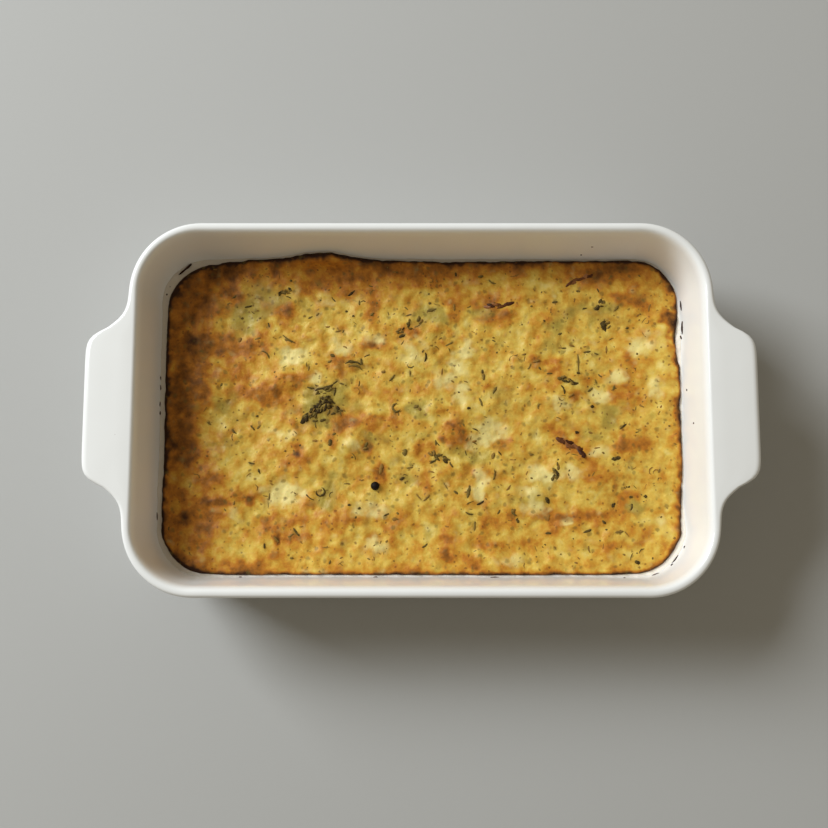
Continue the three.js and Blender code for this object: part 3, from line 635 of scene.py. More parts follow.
# Twigs and leaves of the herb clump, as above
CLUMP = [
    Herb(-54.5, 13.2, 5.0, 1.0, -6, 45, 0.2),
    Herb(-50.5, 12.8, 5.0, 1.1, 12, -50, 0.1),
    Herb(-46.5, 13.6, 6.0, 1.6, 20, 30, 0.1),
    Herb(-42.6, 16.4, 4.4, 0.9, 38, -25, 0.3),
    Herb(-42.8, 11.6, 4.6, 0.9, 80, 15, 0.2),
    Herb(-39.5, 15.5, 2.4, 0.8, -10, 0, 0.3),
    Herb(-47.8, 8.2, 5.4, 1.2, 14, 50, 0.1),
    Herb(-44.4, 6.6, 4.4, 1.1, -42, 45, 0.1),
    Herb(-53.6, 2.6, 5.0, 2.4, 56, 10, -0.3),
    Herb(-51.4, 4.0, 5.4, 2.2, 48, 0, -0.3),
    Herb(-49.0, 5.6, 5.0, 2.0, 20, 35, -0.2),
    Herb(-46.4, 6.2, 3.8, 1.6, -30, 30, -0.1),
    Herb(-50.6, 1.4, 4.0, 1.6, 20, 20, -0.2),
    Herb(-47.4, 3.4, 4.4, 1.2, 75, 45, -0.1),
    Herb(-45.0, 3.8, 3.6, 1.1, 35, -40, 0.1),
    Herb(-40.6, 2.0, 4.6, 1.4, -6, 30, 0.2),
    Herb(-44.2, 4.4, 3.4, 0.9, -20, 20, 0.2),
    Herb(-50.8, 2.6, 4.0, 1.0, -5, 60, 0.3),
    Herb(-53.6, -0.8, 3.6, 1.0, 30, 30, 0.2),
    Herb(-58.6, -3.4, 3.6, 2.4, 30, 0, -0.1),
    Herb(-56.8, -2.2, 3.2, 1.8, 80, 0, -0.1),
    Herb(-52.6, -3.2, 3.2, 1.3, 5, 0, 0.3),
    Herb(-48.8, -2.8, 3.0, 1.3, 20, 0, 0.2),
    Herb(-46.0, 0.8, 3.2, 1.0, 60, 0, 0.3),
    Herb(-41.2, 2.2, 3.8, 1.6, -10, 0, 0.6),
    Herb(-43.6, 0.4, 2.6, 1.2, 20, 0, 0.2),
]

# Crumbs that fell on the handles
HANDLE_CRUMBS = [
    Scrap("brown crumb, left handle", (-143.6, -13.6), HEIGHT, 1.7, 1.1, 5),
    Scrap("grey crumb, left handle", (-146.5, 17.6), HEIGHT, 0.8, 0.6, 0),
]


def linear(code):
    """Turns an sRGB hex colour into the linear values that Blender works in."""
    shares = [int(code[i : i + 2], 16) / 255 for i in (1, 3, 5)]
    return tuple(s / 12.92 if s <= 0.04045 else ((s + 0.055) / 1.055) ** 2.4 for s in shares)


def smoothstep(low, high, value):
    """Rises smoothly from 0 at low to 1 at high."""
    share = min(1.0, max(0.0, (value - low) / (high - low)))
    return share * share * (3 - 2 * share)


def lerp(start, end, share):
    return start + (end - start) * share


# Shape of the dish


def cavity_radius(z):
    """Radius of the cavity's round corner where the wall passes height z."""
    return CAVITY_RADIUS_AT_LIP - (LIP_START - z) * math.tan(WALL_DRAFT)


def outer_radius(z):
    """Radius of the outer wall's round corner at height z."""
    return cavity_radius(z) + WALL_THICKNESS / math.cos(WALL_DRAFT)


def floor_arc(radius_at, floor_z, rounding, steps):
    """Arc that turns a drafted wall into a flat floor, from the wall down to the floor."""
    wall_z = floor_z + rounding * (1 - math.sin(WALL_DRAFT))
    centre = radius_at(wall_z) - rounding * math.cos(WALL_DRAFT)
    angles = [lerp(-WALL_DRAFT, -math.pi / 2, i / steps) for i in range(steps + 1)]
    return [(centre + rounding * math.cos(a), floor_z + rounding * (1 + math.sin(a))) for a in angles]


def quadratic(start, control, end, steps):
    """Points of a quadratic curve after its start."""
    points = []
    for i in range(1, steps + 1):
        t = i / steps
        shares = ((1 - t) ** 2, 2 * t * (1 - t), t * t)
        points.append(tuple(sum(s * p[k] for s, p in zip(shares, (start, control, end))) for k in (0, 1)))
    return points


def handle_reach(y):
    """How far a handle stands out of the body at a distance y from the middle of the short side."""
    past = abs(y) - HANDLE_HALF_WIDTH
    softness = HANDLE_TIP_SOFTNESS if past < 0 else HANDLE_ROOT_SOFTNESS
    return HANDLE_REACH / (1 + math.exp(past / softness))


def rim_section(reach):
    """Section of the rim from the outer wall over the edge to the crown of the lip."""
    share = reach / HANDLE_REACH
    lift = smoothstep(0, HANDLE_BLEND_REACH, reach)
    root_z = HEIGHT - HANDLE_ROOT_DROP
    underside = HEIGHT - HANDLE_THICKNESS
    tip = CORNER_RADIUS + HANDLE_REACH
    edge = HANDLE_EDGE_ROUNDING

    def at(step, handle_r, handle_z):
        plain_z = lerp(root_z, LIP_TURN, step / RIM_STEPS)
        return lerp(outer_radius(plain_z), handle_r, share), lerp(plain_z, handle_z, lift)

    root = (outer_radius(root_z), root_z)
    low = underside - HANDLE_UNDERSIDE_FALL
    fillet_bend = at(1, outer_radius(underside), low)
    fillet_end = at(2, outer_radius(root_z) + HANDLE_FILLET, low)
    under_end = at(3, tip - edge, underside)
    tip_bend = at(4, tip, underside)
    tip_low = at(5, tip, underside + HANDLE_UNDER_ROUNDING)
    tip_high = at(6, tip, HEIGHT - edge)
    crown = (lerp(LIP_CROWN, tip - edge, share), HEIGHT)
    return [
        root,
        *quadratic(root, fillet_bend, fillet_end, 7),
        *[(lerp(fillet_end[0], under_end[0], t), lerp(fillet_end[1], under_end[1], t)) for t in (0.35, 0.7)],
        under_end,
        *quadratic(under_end, tip_bend, tip_low, 6),
        tip_high,
        *quadratic(tip_high, (tip_high[0], HEIGHT), crown, 8),
        *[(lerp(crown[0], LIP_CROWN - LIP_FLAT, t), HEIGHT) for t in (0.3, 0.65, 1)],
    ]


def lower_section():
    """Section of the foot rim and the lower outer wall, ending below the rim's first point."""
    base = floor_arc(outer_radius, 0, BASE_ROUNDING, 8)[::-1]
    foot_inner = base[0][0] - FOOT_WIDTH
    wall_top = HEIGHT - HANDLE_ROOT_DROP
    wall = [lerp(base[-1][1], wall_top, t) for t in (0.2, 0.4, 0.6, 0.8)]
    return [
        (foot_inner - 3 * FOOT_RECESS, FOOT_RECESS),
        (foot_inner - FOOT_RECESS, FOOT_RECESS),
        (foot_inner - 0.25, 0.25),
        (foot_inner, 0.06),
        (foot_inner + 0.3, 0),
        *base,
        *[(outer_radius(z), z) for z in wall],
    ]


def cavity_section():
    """Section of the inside, from the crown of the lip down the wall to the floor."""
    lip = quadratic(
        (LIP_CROWN - LIP_FLAT, HEIGHT), (cavity_radius(HEIGHT), HEIGHT), (CAVITY_RADIUS_AT_LIP, LIP_START), 9
    )
    floor = floor_arc(cavity_radius, FLOOR_THICKNESS, FLOOR_FILLET, 8)
    wall = [lerp(LIP_START, floor[0][1], t) for t in (0.12, 0.25, 0.4, 0.52, 0.6, 0.66, 0.72, 0.8, 0.9)]
    return [*lip, *[(cavity_radius(z), z) for z in wall], *floor, (floor[-1][0] - 4, FLOOR_THICKNESS)]


def dish_section(reach):
    """Section of the whole dish, from under its base, over the rim, to its floor."""
    return [*lower_section(), *rim_section(reach), *cavity_section()]


def corner_share(x, y):
    """The point of the inner rectangle nearest to (x, y), the way out from it, and the distance."""
    station = Vector((max(-CORNER_X, min(CORNER_X, x)), max(-CORNER_Y, min(CORNER_Y, y))))
    out = Vector((x, y)) - station
    return station, out.normalized(), out.length


def stretched_to_rectangle(mesh, step):
    """Moves the four quarters of a round spin apart, so that they become the dish's corners."""
    quarter_turn = math.pi / 2
    for vertex in mesh.verts:
        angle = math.atan2(vertex.co.y, vertex.co.x) % math.tau
        quarter = int(angle // quarter_turn)
        local = (angle - quarter * quarter_turn - step / 2) / (quarter_turn - step) * quarter_turn
        angle = quarter * quarter_turn + local
        radius = vertex.co.xy.length
        vertex.co.x = (CORNER_X if quarter in (0, 3) else -CORNER_X) + radius * math.cos(angle)
        vertex.co.y = (CORNER_Y if quarter in (0, 1) else -CORNER_Y) + radius * math.sin(angle)


def even_cuts(step, reach):
    """Places one step apart, on both sides of the middle, up to reach."""
    return range(-reach, reach + 1, step)


def cut_across(mesh, places, normal):
    """Cuts the mesh by planes that stand at these places along the normal."""
    for place in places:
        bmesh.ops.bisect_plane(
            mesh,
            geom=[*mesh.verts, *mesh.edges, *mesh.faces],
            plane_co=normal * place,
            plane_no=normal,
            dist=1e-4,
        )


def dish_mesh(corner_steps):
    """Spins the section, stretches it to the rounded rectangle and draws out the handles."""
    mesh = bmesh.new()
    row = mesh.verts.layers.float.new("row")
    inside = mesh.verts.layers.float.new("inside")
    section = dish_section(0)
    first_inside = len(section) - len(cavity_section())
    ring = [mesh.verts.new((r, 0, z)) for r, z in section]
    for index, vertex in enumerate(ring):
        vertex[row] = index
        vertex[inside] = 1.0 if index >= first_inside else 0.0
    edges = [mesh.edges.new(pair) for pair in zip(ring, ring[1:])]
    steps = 4 * corner_steps
    step = math.tau / steps
    bmesh.ops.rotate(mesh, verts=ring, cent=(0, 0, 0), matrix=Matrix.Rotation(step / 2, 3, "Z"))
    bmesh.ops.spin(
        mesh,
        geom=[*ring, *edges],
        cent=(0, 0, 0),
        axis=(0, 0, 1),
        dvec=(0, 0, 0),
        angle=math.tau,
        steps=steps,
        use_merge=True,
        use_duplicate=False,
    )
    stretched_to_rectangle(mesh, step)
    cut_across(mesh, even_cuts(LONG_SIDE_CUT_STEP, LONG_SIDE_CUTS_REACH), Vector((1, 0, 0)))
    cut_across(mesh, even_cuts(HANDLE_CUT_STEP, HANDLE_CUTS_REACH), Vector((0, 1, 0)))

    sections = {}
    for vertex in mesh.verts:
        station, out, _ = corner_share(vertex.co.x, vertex.co.y)
        y = station.y + CORNER_RADIUS * out.y if abs(vertex.co.x) > CORNER_X else CORNER_Y + CORNER_RADIUS
        key = round(y, 3)
        if key not in sections:
            sections[key] = dish_section(handle_reach(key))
        radius, z = sections[key][round(vertex[row])]
        vertex.co = (*(station + out * radius), z)
    open_rims = [edge for edge in mesh.edges if edge.is_boundary]
    bmesh.ops.holes_fill(mesh, edges=open_rims, sides=0)
    bmesh.ops.recalc_face_normals(mesh, faces=mesh.faces)
    return mesh


# Shape of the souffle


def field(patches, sharpness, spread=1.0):
    """Returns a function that adds up bells over ellipses. A sharper bell is flatter on top and steeper."""
    bells = []
    for patch in patches:
        turn = math.radians(patch.turn)
        long, short = (spread * radius for radius in patch.radii)
        reach = 3 * max(long, short)
        bells.append((*patch.at, math.cos(turn), math.sin(turn), long, short, patch.amount, reach))

    def total(x, y):
        amount = 0.0
        for at_x, at_y, cosine, sine, long, short, height, reach in bells:
            dx = x - at_x
            dy = y - at_y
            if abs(dx) < reach and abs(dy) < reach:
                along = (dx * cosine + dy * sine) / long
                across = (dy * cosine - dx * sine) / short
                amount += height * math.exp(-((along * along + across * across) ** sharpness))
        return amount

    return total


def stain_of(herb):
    """The patch of stained egg round one herb, a little larger than the herb."""
    radii = (0.55 * herb.length + 0.4, 0.5 * herb.width + 0.7)
    return Patch("herb stain", (herb.x, herb.y), radii, herb.turn, 0.7)


swells = field(SWELLS, 1)
pulls = field([Patch(p.name, p.at, (p.radius, p.radius), 0, p.pull) for p in DRAWN_BACK], 1)
browned_and_shade_patches = field(BROWNED_AND_SHADE, 1.3, 1.2)
pale_patches = field(PALE, 1.3, 1.1)
olive_and_shade_patches = field(OLIVE_AND_SHADE, 1.2, 1.2)
burnt_patches = field(BURNT, 1.3)
herb_stains = field([stain_of(herb) for herb in HERBS + CLUMP], 1)


def solid_height(x, y):
    """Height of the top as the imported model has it."""
    height = FOOD_LEVEL + swells(x, y)
    for wave in WAVES:
        turn = math.radians(wave.turn)
        along = x * math.cos(turn) + y * math.sin(turn)
        height += wave.height * math.sin(math.tau * along / wave.length + wave.phase)
    return height


def edge_pull(x, y):
    """How far the browned edge has drawn back: it clings nearer the wall than the solid's, and is ragged."""
    ragged = max(0.0, ripples(x, y, EDGE_RAGS)) * (1 - CALMER_FRONT * smoothstep(-60, -76, y))
    return SHRINK_PULL + CLINGING_SHARE * pulls(x, y) + RAGGED_EDGE * ragged


def edge_darkness(x, y):
    """Extra darkening of the edge that faces the wall: burnt crust, and painted shade of the gap at the wall,
    in patches, most on the left, least on the right.
    """
    by_side = 0.2 * smoothstep(-90, -128, x) - 0.12 * smoothstep(100, 126, x)
    amount = EDGE_DARKENING + ripples(x, y, EDGE_MOTTLE) + by_side
    return min(EDGE_DARKENING_MOST, max(EDGE_DARKENING_LEAST, amount))


def food_radius(z):
    """Radius of the souffle's round corner at height z."""
    return cavity_radius(z) - SETTLED_GAP


def on_rounded_plan(share_x, share_y, radius):
    """Moves a point of the rectangle, in shares of its half sides, on to the plan with rounded corners."""
    x = share_x * (CORNER_X + radius)
    y = share_y * (CORNER_Y + radius)
    past_x = abs(x) - CORNER_X
    past_y = abs(y) - CORNER_Y
    if past_x <= 0 or past_y <= 0:
        return x, y
    squeeze = max(past_x, past_y) / math.hypot(past_x, past_y)
    return math.copysign(CORNER_X + past_x * squeeze, x), math.copysign(CORNER_Y + past_y * squeeze, y)


def inside_edge(x, y):
    """How far inside the souffle's full edge a point lies."""
    past_x = abs(x) - CORNER_X
    past_y = abs(y) - CORNER_Y
    past = math.hypot(past_x, past_y) if past_x > 0 and past_y > 0 else max(past_x, past_y)
    return food_radius(FOOD_LEVEL) - past


def ripple(x, y, size, seed):
    """Smooth noise from about -1 to 1, whose lumps measure about size."""
    return noise.noise(Vector((x / size, y / size, seed)))


def ripples(x, y, octaves):
    """Sum of several layers of smooth noise."""
    return sum(octave.weight * ripple(x, y, octave.size, octave.seed) for octave in octaves)


def curds(x, y):
    """Domes of set egg about 5 mm across, with creases between them."""
    warp_x = x + 1.3 * ripple(x, y, 4.0, 11.3)
    warp_y = y + 1.3 * ripple(x, y, 4.0, 27.1)
    distances, _ = noise.voronoi(Vector((warp_x / 5.2, warp_y / 5.2, 3.7)))
    return 0.5 - min(1.0, distances[0]) ** 1.6


def pits(x, y):
    """Small burst bubbles, each a crater 2 to 3 mm across, on about a third of a 9 mm net."""
    distances, points = noise.voronoi(Vector((x / 9.0, y / 9.0, 8.2)))
    chosen = noise.cell(points[0] * 7.0)
    return math.exp(-((distances[0] / 0.13) ** 2)) if chosen > 0.62 else 0.0


def relief(x, y):
    """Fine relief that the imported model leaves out."""
    lumpy = 0.55 + 0.45 * ripple(x, y, 24.0, 5.0)
    return lumpy * curds(x, y) + ripples(x, y, SURFACE_LUMPS) - 0.5 * pits(x, y)


def wall_crust(x, y):
    """Height of the crust that stuck to the back wall when the rest sank."""
    aside = abs(x - CRUST_MIDDLE) / (CRUST_REACH_LEFT if x < CRUST_MIDDLE else CRUST_REACH_RIGHT)
    if y < 0 or aside > 2:
        return 0.0
    inwards = max(0.0, inside_edge(x, y) - EDGE_ROUNDING) / CRUST_DEPTH
    ragged = 1 + 0.1 * ripple(x, 0, 5.0, 19.0)
    return CRUST_HEIGHT * ragged * math.exp(-(aside**2.4) - inwards**2)


def top_height(x, y):
    """Height of the souffle's top with its fine relief, which dies out towards the edge."""
    fine = relief(x, y) * smoothstep(-1.0, 3.5, inside_edge(x, y))
    return solid_height(x, y) + wall_crust(x, y) + fine


def side_section(share_x, share_y):
    """Side of the souffle at one place: corner radius and height of each ring.

    From the rounded top edge a film of egg runs out to the wall, and the side goes down behind it.
    """
    pull = edge_pull(*on_rounded_plan(share_x, share_y, food_radius(FOOD_LEVEL)))
    top_radius = food_radius(FOOD_LEVEL) - pull - EDGE_ROUNDING
    top_z = top_height(*on_rounded_plan(share_x, share_y, top_radius))
    skirt_z = top_z - SKIRT_LIFT
    section = []
    for i in range(1, SKIRT_RINGS + 1):
        angle = math.pi / 2 * i / SKIRT_RINGS
        wall = food_radius(lerp(top_z, skirt_z, i / SKIRT_RINGS)) - pull
        section.append((lerp(top_radius, wall, math.sin(angle)), lerp(skirt_z, top_z, math.cos(angle))))
    film_rise = FILM_RISE + FILM_SLOPE * pull
    film_start = food_radius(skirt_z) - FILM_START_SHARE * pull
    film_end = cavity_radius(skirt_z + film_rise) + FILM_OVERLAP
    for i in range(FILM_RINGS):
        share = i / (FILM_RINGS - 1)
        section.append((lerp(film_start, film_end, share), skirt_z + film_rise * share**FILM_CURVE))
    floor = floor_arc(food_radius, FLOOR_THICKNESS + SETTLED_GAP, FLOOR_FILLET, 4)
    for i in range(1, SIDE_RINGS + 1):
        z = lerp(skirt_z, floor[0][1], i / (SIDE_RINGS + 1))
        section.append((food_radius(z), z))
    return [*section, *floor]


def shade_side(x, y):
    """How far a place lies towards the left, back or front, where the wall is in shade: 0 to 1."""
    front = smoothstep(-60, -78, y) * smoothstep(112, 90, x)
    return max(smoothstep(-84, -128, x), smoothstep(50, 77, y), front)


def rim_browning_and_shade(x, y):
    """Extra darkening near the wall: a broad band on the left and at the back that is partly browning and
    partly painted shade of those walls, and a thin browned line elsewhere.
    """
    left = smoothstep(-80, -128, x)
    right = smoothstep(112, 126, x)
    back = smoothstep(50, 77, y)
    pull = edge_pull(x, y)
    distance = max(0.0, inside_edge(x, y) - pull)
    width = (3.0 + 20.0 * left + 11.0 * back) * (1 + 0.5 * ripple(x, y, 13.0, 41.0))
    line = 1.2 + 0.6 * left + 0.6 * right + 0.2 * back + 0.4 * pull * (1 - left)
    line *= 1 + 0.45 * ripple(x, y, 6.0, 33.0)
    band = (0.14 + 0.15 * left + 0.12 * back) * math.exp(-((distance / width) ** 1.6))
    return band + (0.2 + 0.22 * left + 0.1 * right + 0.16 * back) * math.exp(-((distance / line) ** 2))


def colour_of_top(x, y):
    """How far the top is baked, with painted shade by the left and back walls, and its shares of pale and
    olive curd and of herb stain, at one point.
    """
    warp_x = x + ripples(x, y, PATCH_WARP_X)
    warp_y = y + ripples(x, y, PATCH_WARP_Y)
    baked = 0.31 + ripples(x, y, BAKING_MOTTLE) + 0.05 * relief(x, y)
    baked += 0.28 * browned_and_shade_patches(warp_x, warp_y) + 0.34 * burnt_patches(warp_x, warp_y)
    baked += 0.01 * smoothstep(0, -60, y)
    # Browning by the wall, with painted shade in the broad band by the left and back walls
    baked += rim_browning_and_shade(warp_x, warp_y)
    pale = 1.25 * pale_patches(warp_x, warp_y) + ripples(x, y, PALE_MOTTLE)
    olive = olive_and_shade_patches(warp_x, warp_y) + ripples(x, y, OLIVE_MOTTLE)
    return baked, pale, olive, herb_stains(x, y)


def souffle_mesh(step):
    """Grid moved to the lumpy top, with its rim drawn down the wall and closed at the floor."""
    mesh = bmesh.new()
    share = mesh.verts.layers.float_vector.new("share")
    layers = [mesh.verts.layers.float.new(name) for name in ("baked", "pale", "olive", "stain")]
    film = mesh.verts.layers.float.new("film")
    baked = layers[0]
    bmesh.ops.create_grid(
        mesh,
        x_segments=round(2 * (CORNER_X + CORNER_RADIUS) / step),
        y_segments=round(2 * (CORNER_Y + CORNER_RADIUS) / step),
        size=1,
    )
    level = food_radius(FOOD_LEVEL)
    for vertex in mesh.verts:
        share_x, share_y = vertex.co.x, vertex.co.y
        vertex[share] = (share_x, share_y, 0)
        reach = max(abs(share_x), abs(share_y), 1e-9)
        edge = on_rounded_plan(share_x / reach, share_y / reach, level)
        pull = edge_pull(*edge) * reach**PULL_FADE
        x, y = on_rounded_plan(share_x, share_y, level - pull - EDGE_ROUNDING)
        vertex.co = (x, y, top_height(x, y))

    rim = [edge for edge in mesh.edges if edge.is_boundary]
    rim_vertices = {vertex for edge in rim for vertex in edge.verts}
    sides = {tuple(vertex[share]): side_section(vertex[share].x, vertex[share].y) for vertex in rim_vertices}
    for level_index in range(len(next(iter(sides.values())))):
        made = bmesh.ops.extrude_edge_only(mesh, edges=rim)["geom"]
        rim = [item for item in made if isinstance(item, bmesh.types.BMEdge)]
        for vertex in {vertex for edge in rim for vertex in edge.verts}:
            radius, z = sides[tuple(vertex[share])][level_index]
            x, y = on_rounded_plan(vertex[share].x, vertex[share].y, radius)
            vertex.co = (x, y, z)
            # The side rings darken: burnt crust, and painted shade of the gap at the wall
            vertex[baked] = edge_darkness(x, y) * min(1.0, (level_index + 1) / SKIRT_RINGS)
            if level_index >= SKIRT_RINGS:
                # Less of the film's white where the wall is in shade: painted shade
                vertex[film] = lerp(FILM_SHARE_LIT, FILM_SHARE_SHADED, shade_side(x, y))
    bmesh.ops.holes_fill(mesh, edges=[edge for edge in mesh.edges if edge.is_boundary], sides=0)
    bmesh.ops.recalc_face_normals(mesh, faces=mesh.faces)

    for vertex in mesh.verts:
        from_side = vertex[baked]
        for layer, amount in zip(layers, colour_of_top(vertex.co.x, vertex.co.y)):
            vertex[layer] = amount
        vertex[baked] += from_side
    mesh.verts.layers.float_vector.remove(share)
    return mesh


# Herbs, onion and scraps


def bent(vertices, length, bend):
    """Curls vertices that lie along X into an arc that turns by bend over that length."""
    if abs(bend) < 1e-4:
        return
    radius = length / bend
    for vertex in vertices:
        angle = vertex.co.x / radius
        across = vertex.co.y
        vertex.co.x = (radius - across) * math.sin(angle)
        vertex.co.y = radius - (radius - across) * math.cos(angle)


def sliver(whole, size, bend, place, tint, sides=6, rings=5):
    """Adds one thin, pointed, uneven piece, long along X, curled and moved by the matrix place."""
    length, width, thickness = size
    part = tinted_mesh()
    bmesh.ops.create_uvsphere(part, u_segments=sides, v_segments=rings, radius=0.5)
    lying = Matrix.Rotation(math.pi / 2, 4, "Y")
    stretched = Matrix.Diagonal((length, width, thickness, 1))
    bmesh.ops.transform(part, matrix=stretched @ lying, verts=part.verts)
    for vertex in part.verts:
        uneven = noise.noise(place.translation * 3.1 + vertex.co * 1.1)
        vertex.co.y *= 1 + 0.7 * uneven
        vertex.co.z *= 1 + 0.5 * uneven
    bent(part.verts, length, bend)
    bmesh.ops.transform(part, matrix=place, verts=part.verts)
    layer = part.verts.layers.float["tint"]
    for vertex in part.verts:
        vertex[layer] = tint
    append(whole, part)


def append(whole, part):
    """Moves the small mesh part into the mesh whole."""
    data = bpy.data.meshes.new("part")
    part.to_mesh(data)
    part.free()
    whole.from_mesh(data)
    bpy.data.meshes.remove(data)


def lying_on_top(x, y, turn, lift, tilt=0.0):
    """Matrix that lays a piece on the souffle's slope, turned by turn, with its middle lift above the top."""
    slope_x = (top_height(x + 1, y) - top_height(x - 1, y)) / 2
    slope_y = (top_height(x, y + 1) - top_height(x, y - 1)) / 2
    up = Vector((-slope_x, -slope_y, 1)).normalized()
    lean = Vector((0, 0, 1)).rotation_difference(up).to_matrix().to_4x4()
    spin = Matrix.Rotation(turn, 4, "Z") @ Matrix.Rotation(tilt, 4, "Y")
    return Matrix.Translation((x, y, top_height(x, y) + lift)) @ lean @ spin


def tinted_mesh():
    """An empty mesh whose vertices carry a tint."""
    mesh = bmesh.new()
    mesh.verts.layers.float.new("tint")
    return mesh


def fraction(value):
    return value - math.floor(value)


def scattered_places(count):
    """Evenly spread places for flakes, the longest first, fewer of them towards the left edge."""
    places = []
    n = 0
    while len(places) < count:
        n += 1
        x = (2 * fraction(n * PLASTIC_X) - 1) * (CORNER_X + CORNER_RADIUS)
        y = (2 * fraction(n * PLASTIC_Y) - 1) * (CORNER_Y + CORNER_RADIUS)
        ramp = (x + CORNER_X + CORNER_RADIUS) / (SPARSE_LEFT_END + CORNER_X + CORNER_RADIUS)
        density = lerp(SPARSE_LEFT_SHARE, 1, ramp)
        if inside_edge(x, y) > FLAKE_EDGE_MARGIN and fraction(n * math.sqrt(2)) < density:
            places.append((x, y, fraction(n * GOLDEN) * math.pi))
    return places


def herbiness(x, y):
    """How many small herbs lie near a point, from 0 to 1: in drifts, and few of them along the left edge."""
    ramp = smoothstep(-CORNER_X - CORNER_RADIUS, SPARSE_LEFT_END, x)
    return lerp(SPARSE_LEFT_SHARE, 1, ramp) * smoothstep(-0.35, 0.5, ripple(x, y, 13.0, 101.0))


def solid_flakes(mesh, rng):
    """Adds the herb flakes that the solid has, at its places and sizes."""
    for index, (x, y, turn) in enumerate(scattered_places(SOLID_FLAKES)):
        length = lerp(FLAKE_LONGEST, FLAKE_SHORTEST, index / SOLID_FLAKES)
        size = (length, length * FLAKE_ASPECT * rng.uniform(0.4, 0.8), 0.9)
        place = lying_on_top(x, y, turn, rng.uniform(-0.4, -0.15), rng.uniform(-0.12, 0.12))
        sliver(mesh, size, rng.uniform(-1.4, 1.4), place, rng.uniform(0.1, 1))


def small_herb_size(rng, shortest):
    """Draws the size and bend of one small herb: a crumb, a piece of leaf, a stem or a curl."""
    kind = rng.random()
    if kind < 0.45:
        length = rng.uniform(shortest, 2 * shortest)
        return (length, length * rng.uniform(0.6, 0.9), 0.7), 0.0
    if kind < 0.75:
        return (rng.uniform(1.8, 3.4), rng.uniform(0.7, 1.3), 0.6), rng.uniform(-0.8, 0.8)
    if kind < 0.93:
        return (rng.uniform(2.4, 5.6), rng.uniform(0.35, 0.55), 0.5), rng.uniform(-1.2, 1.2)
    return (rng.uniform(4, 7), rng.uniform(0.45, 0.7), 0.6), rng.uniform(2.4, 4.4)


def herb_flakes_mesh(count, shortest):
    """Dried herbs: the solid's flakes, those that stand out, and small ones in drifts."""
    rng = random.Random(64)
    mesh = tinted_mesh()
    solid_flakes(mesh, rng)
    for herb in HERBS:
        add_herb(mesh, herb, rng)
    scattered = 0
    while scattered < count:
        x = rng.uniform(-1, 1) * (CORNER_X + CORNER_RADIUS)
        y = rng.uniform(-1, 1) * (CORNER_Y + CORNER_RADIUS)
        if inside_edge(x, y) < 4 or rng.random() > herbiness(x, y):
            continue
        size, bend = small_herb_size(rng, shortest)
        turn = rng.uniform(0, math.tau)
        place = lying_on_top(x, y, turn, rng.uniform(-0.35, 0.0), rng.uniform(-0.15, 0.15))
        sliver(mesh, size, bend, place, rng.uniform(0.15, 1))
        scattered += 1
    return mesh


def add_herb(mesh, herb, rng):
    """Adds one herb that stands out. A strongly bent one gets more steps along its length."""
    place = lying_on_top(herb.x, herb.y, math.radians(herb.turn), rng.uniform(-0.1, 0.12))
    size = (herb.length, herb.width, min(0.9, 0.3 + 0.4 * herb.width))
    steps = 5 + round(herb.length) + round(herb.bend / 30)
    sliver(mesh, size, math.radians(herb.bend), place, herb.tint, rings=steps)


def herb_leaves_mesh():
    """The herb clump, sprigs and leaves, each a small heap of slivers about its place."""
    rng = random.Random(7)
    mesh = tinted_mesh()
    for herb in CLUMP:
        add_herb(mesh, herb, rng)
    for topping in TOPPINGS:
        length, width = topping.size
        turn = math.radians(topping.turn)
        for _ in range(max(4, round(length * width * LEAVES_PER_AREA))):
            along = rng.uniform(-0.5, 0.5) * length
            across = rng.uniform(-0.5, 0.5) * width * math.sqrt(1 - (2 * along / length) ** 2)
            x = topping.at[0] + along * math.cos(turn) - across * math.sin(turn)
            y = topping.at[1] + along * math.sin(turn) + across * math.cos(turn)
            size = (rng.uniform(1.8, 4.0), rng.uniform(0.7, 1.6), rng.uniform(0.4, 0.7))
            leaf_turn = turn + rng.gauss(0, 0.7)
            place = lying_on_top(x, y, leaf_turn, rng.uniform(-0.1, 0.3), rng.uniform(-0.3, 0.3))
            sliver(mesh, size, rng.uniform(-1.2, 1.2), place, rng.uniform(0.0, 0.75))
    return mesh


def onion_mesh():
    """Browned onion shreds, each torn into short strands that follow one line."""
    rng = random.Random(21)
    mesh = tinted_mesh()
    for shred in ONION_SHREDS:
        length, width = shred.size
        turn = math.radians(shred.turn)
        for strand in range(STRANDS):
            along = (strand / (STRANDS - 1) - 0.5) * 0.8 * length
            offset = rng.uniform(-0.3, 0.3) * width
            x = shred.at[0] + along * math.cos(turn) - offset * math.sin(turn)
            y = shred.at[1] + along * math.sin(turn) + offset * math.cos(turn)
            size = (rng.uniform(0.22, 0.42) * length, rng.uniform(0.45, 0.75) * width, 0.8)
            place = lying_on_top(x, y, turn + rng.uniform(-0.4, 0.4), rng.uniform(-0.1, 0.15))
            sliver(mesh, size, rng.uniform(-1.2, 1.2), place, rng.random(), sides=8, rings=8)
    return mesh


def peppercorn_mesh():
    """A whole black peppercorn: a wrinkled ball, half sunk."""
    mesh = tinted_mesh()
    x, y = PEPPERCORN.at
    made = bmesh.ops.create_icosphere(mesh, subdivisions=4, radius=PEPPERCORN.size[0] / 2)["verts"]
    for vertex in made:
        wrinkle = noise.turbulence(vertex.co * 1.6, 3, True)
        vertex.co *= 1 - 0.09 * wrinkle
    bmesh.ops.translate(mesh, vec=(x, y, top_height(x, y) + 0.2), verts=made)
    return mesh


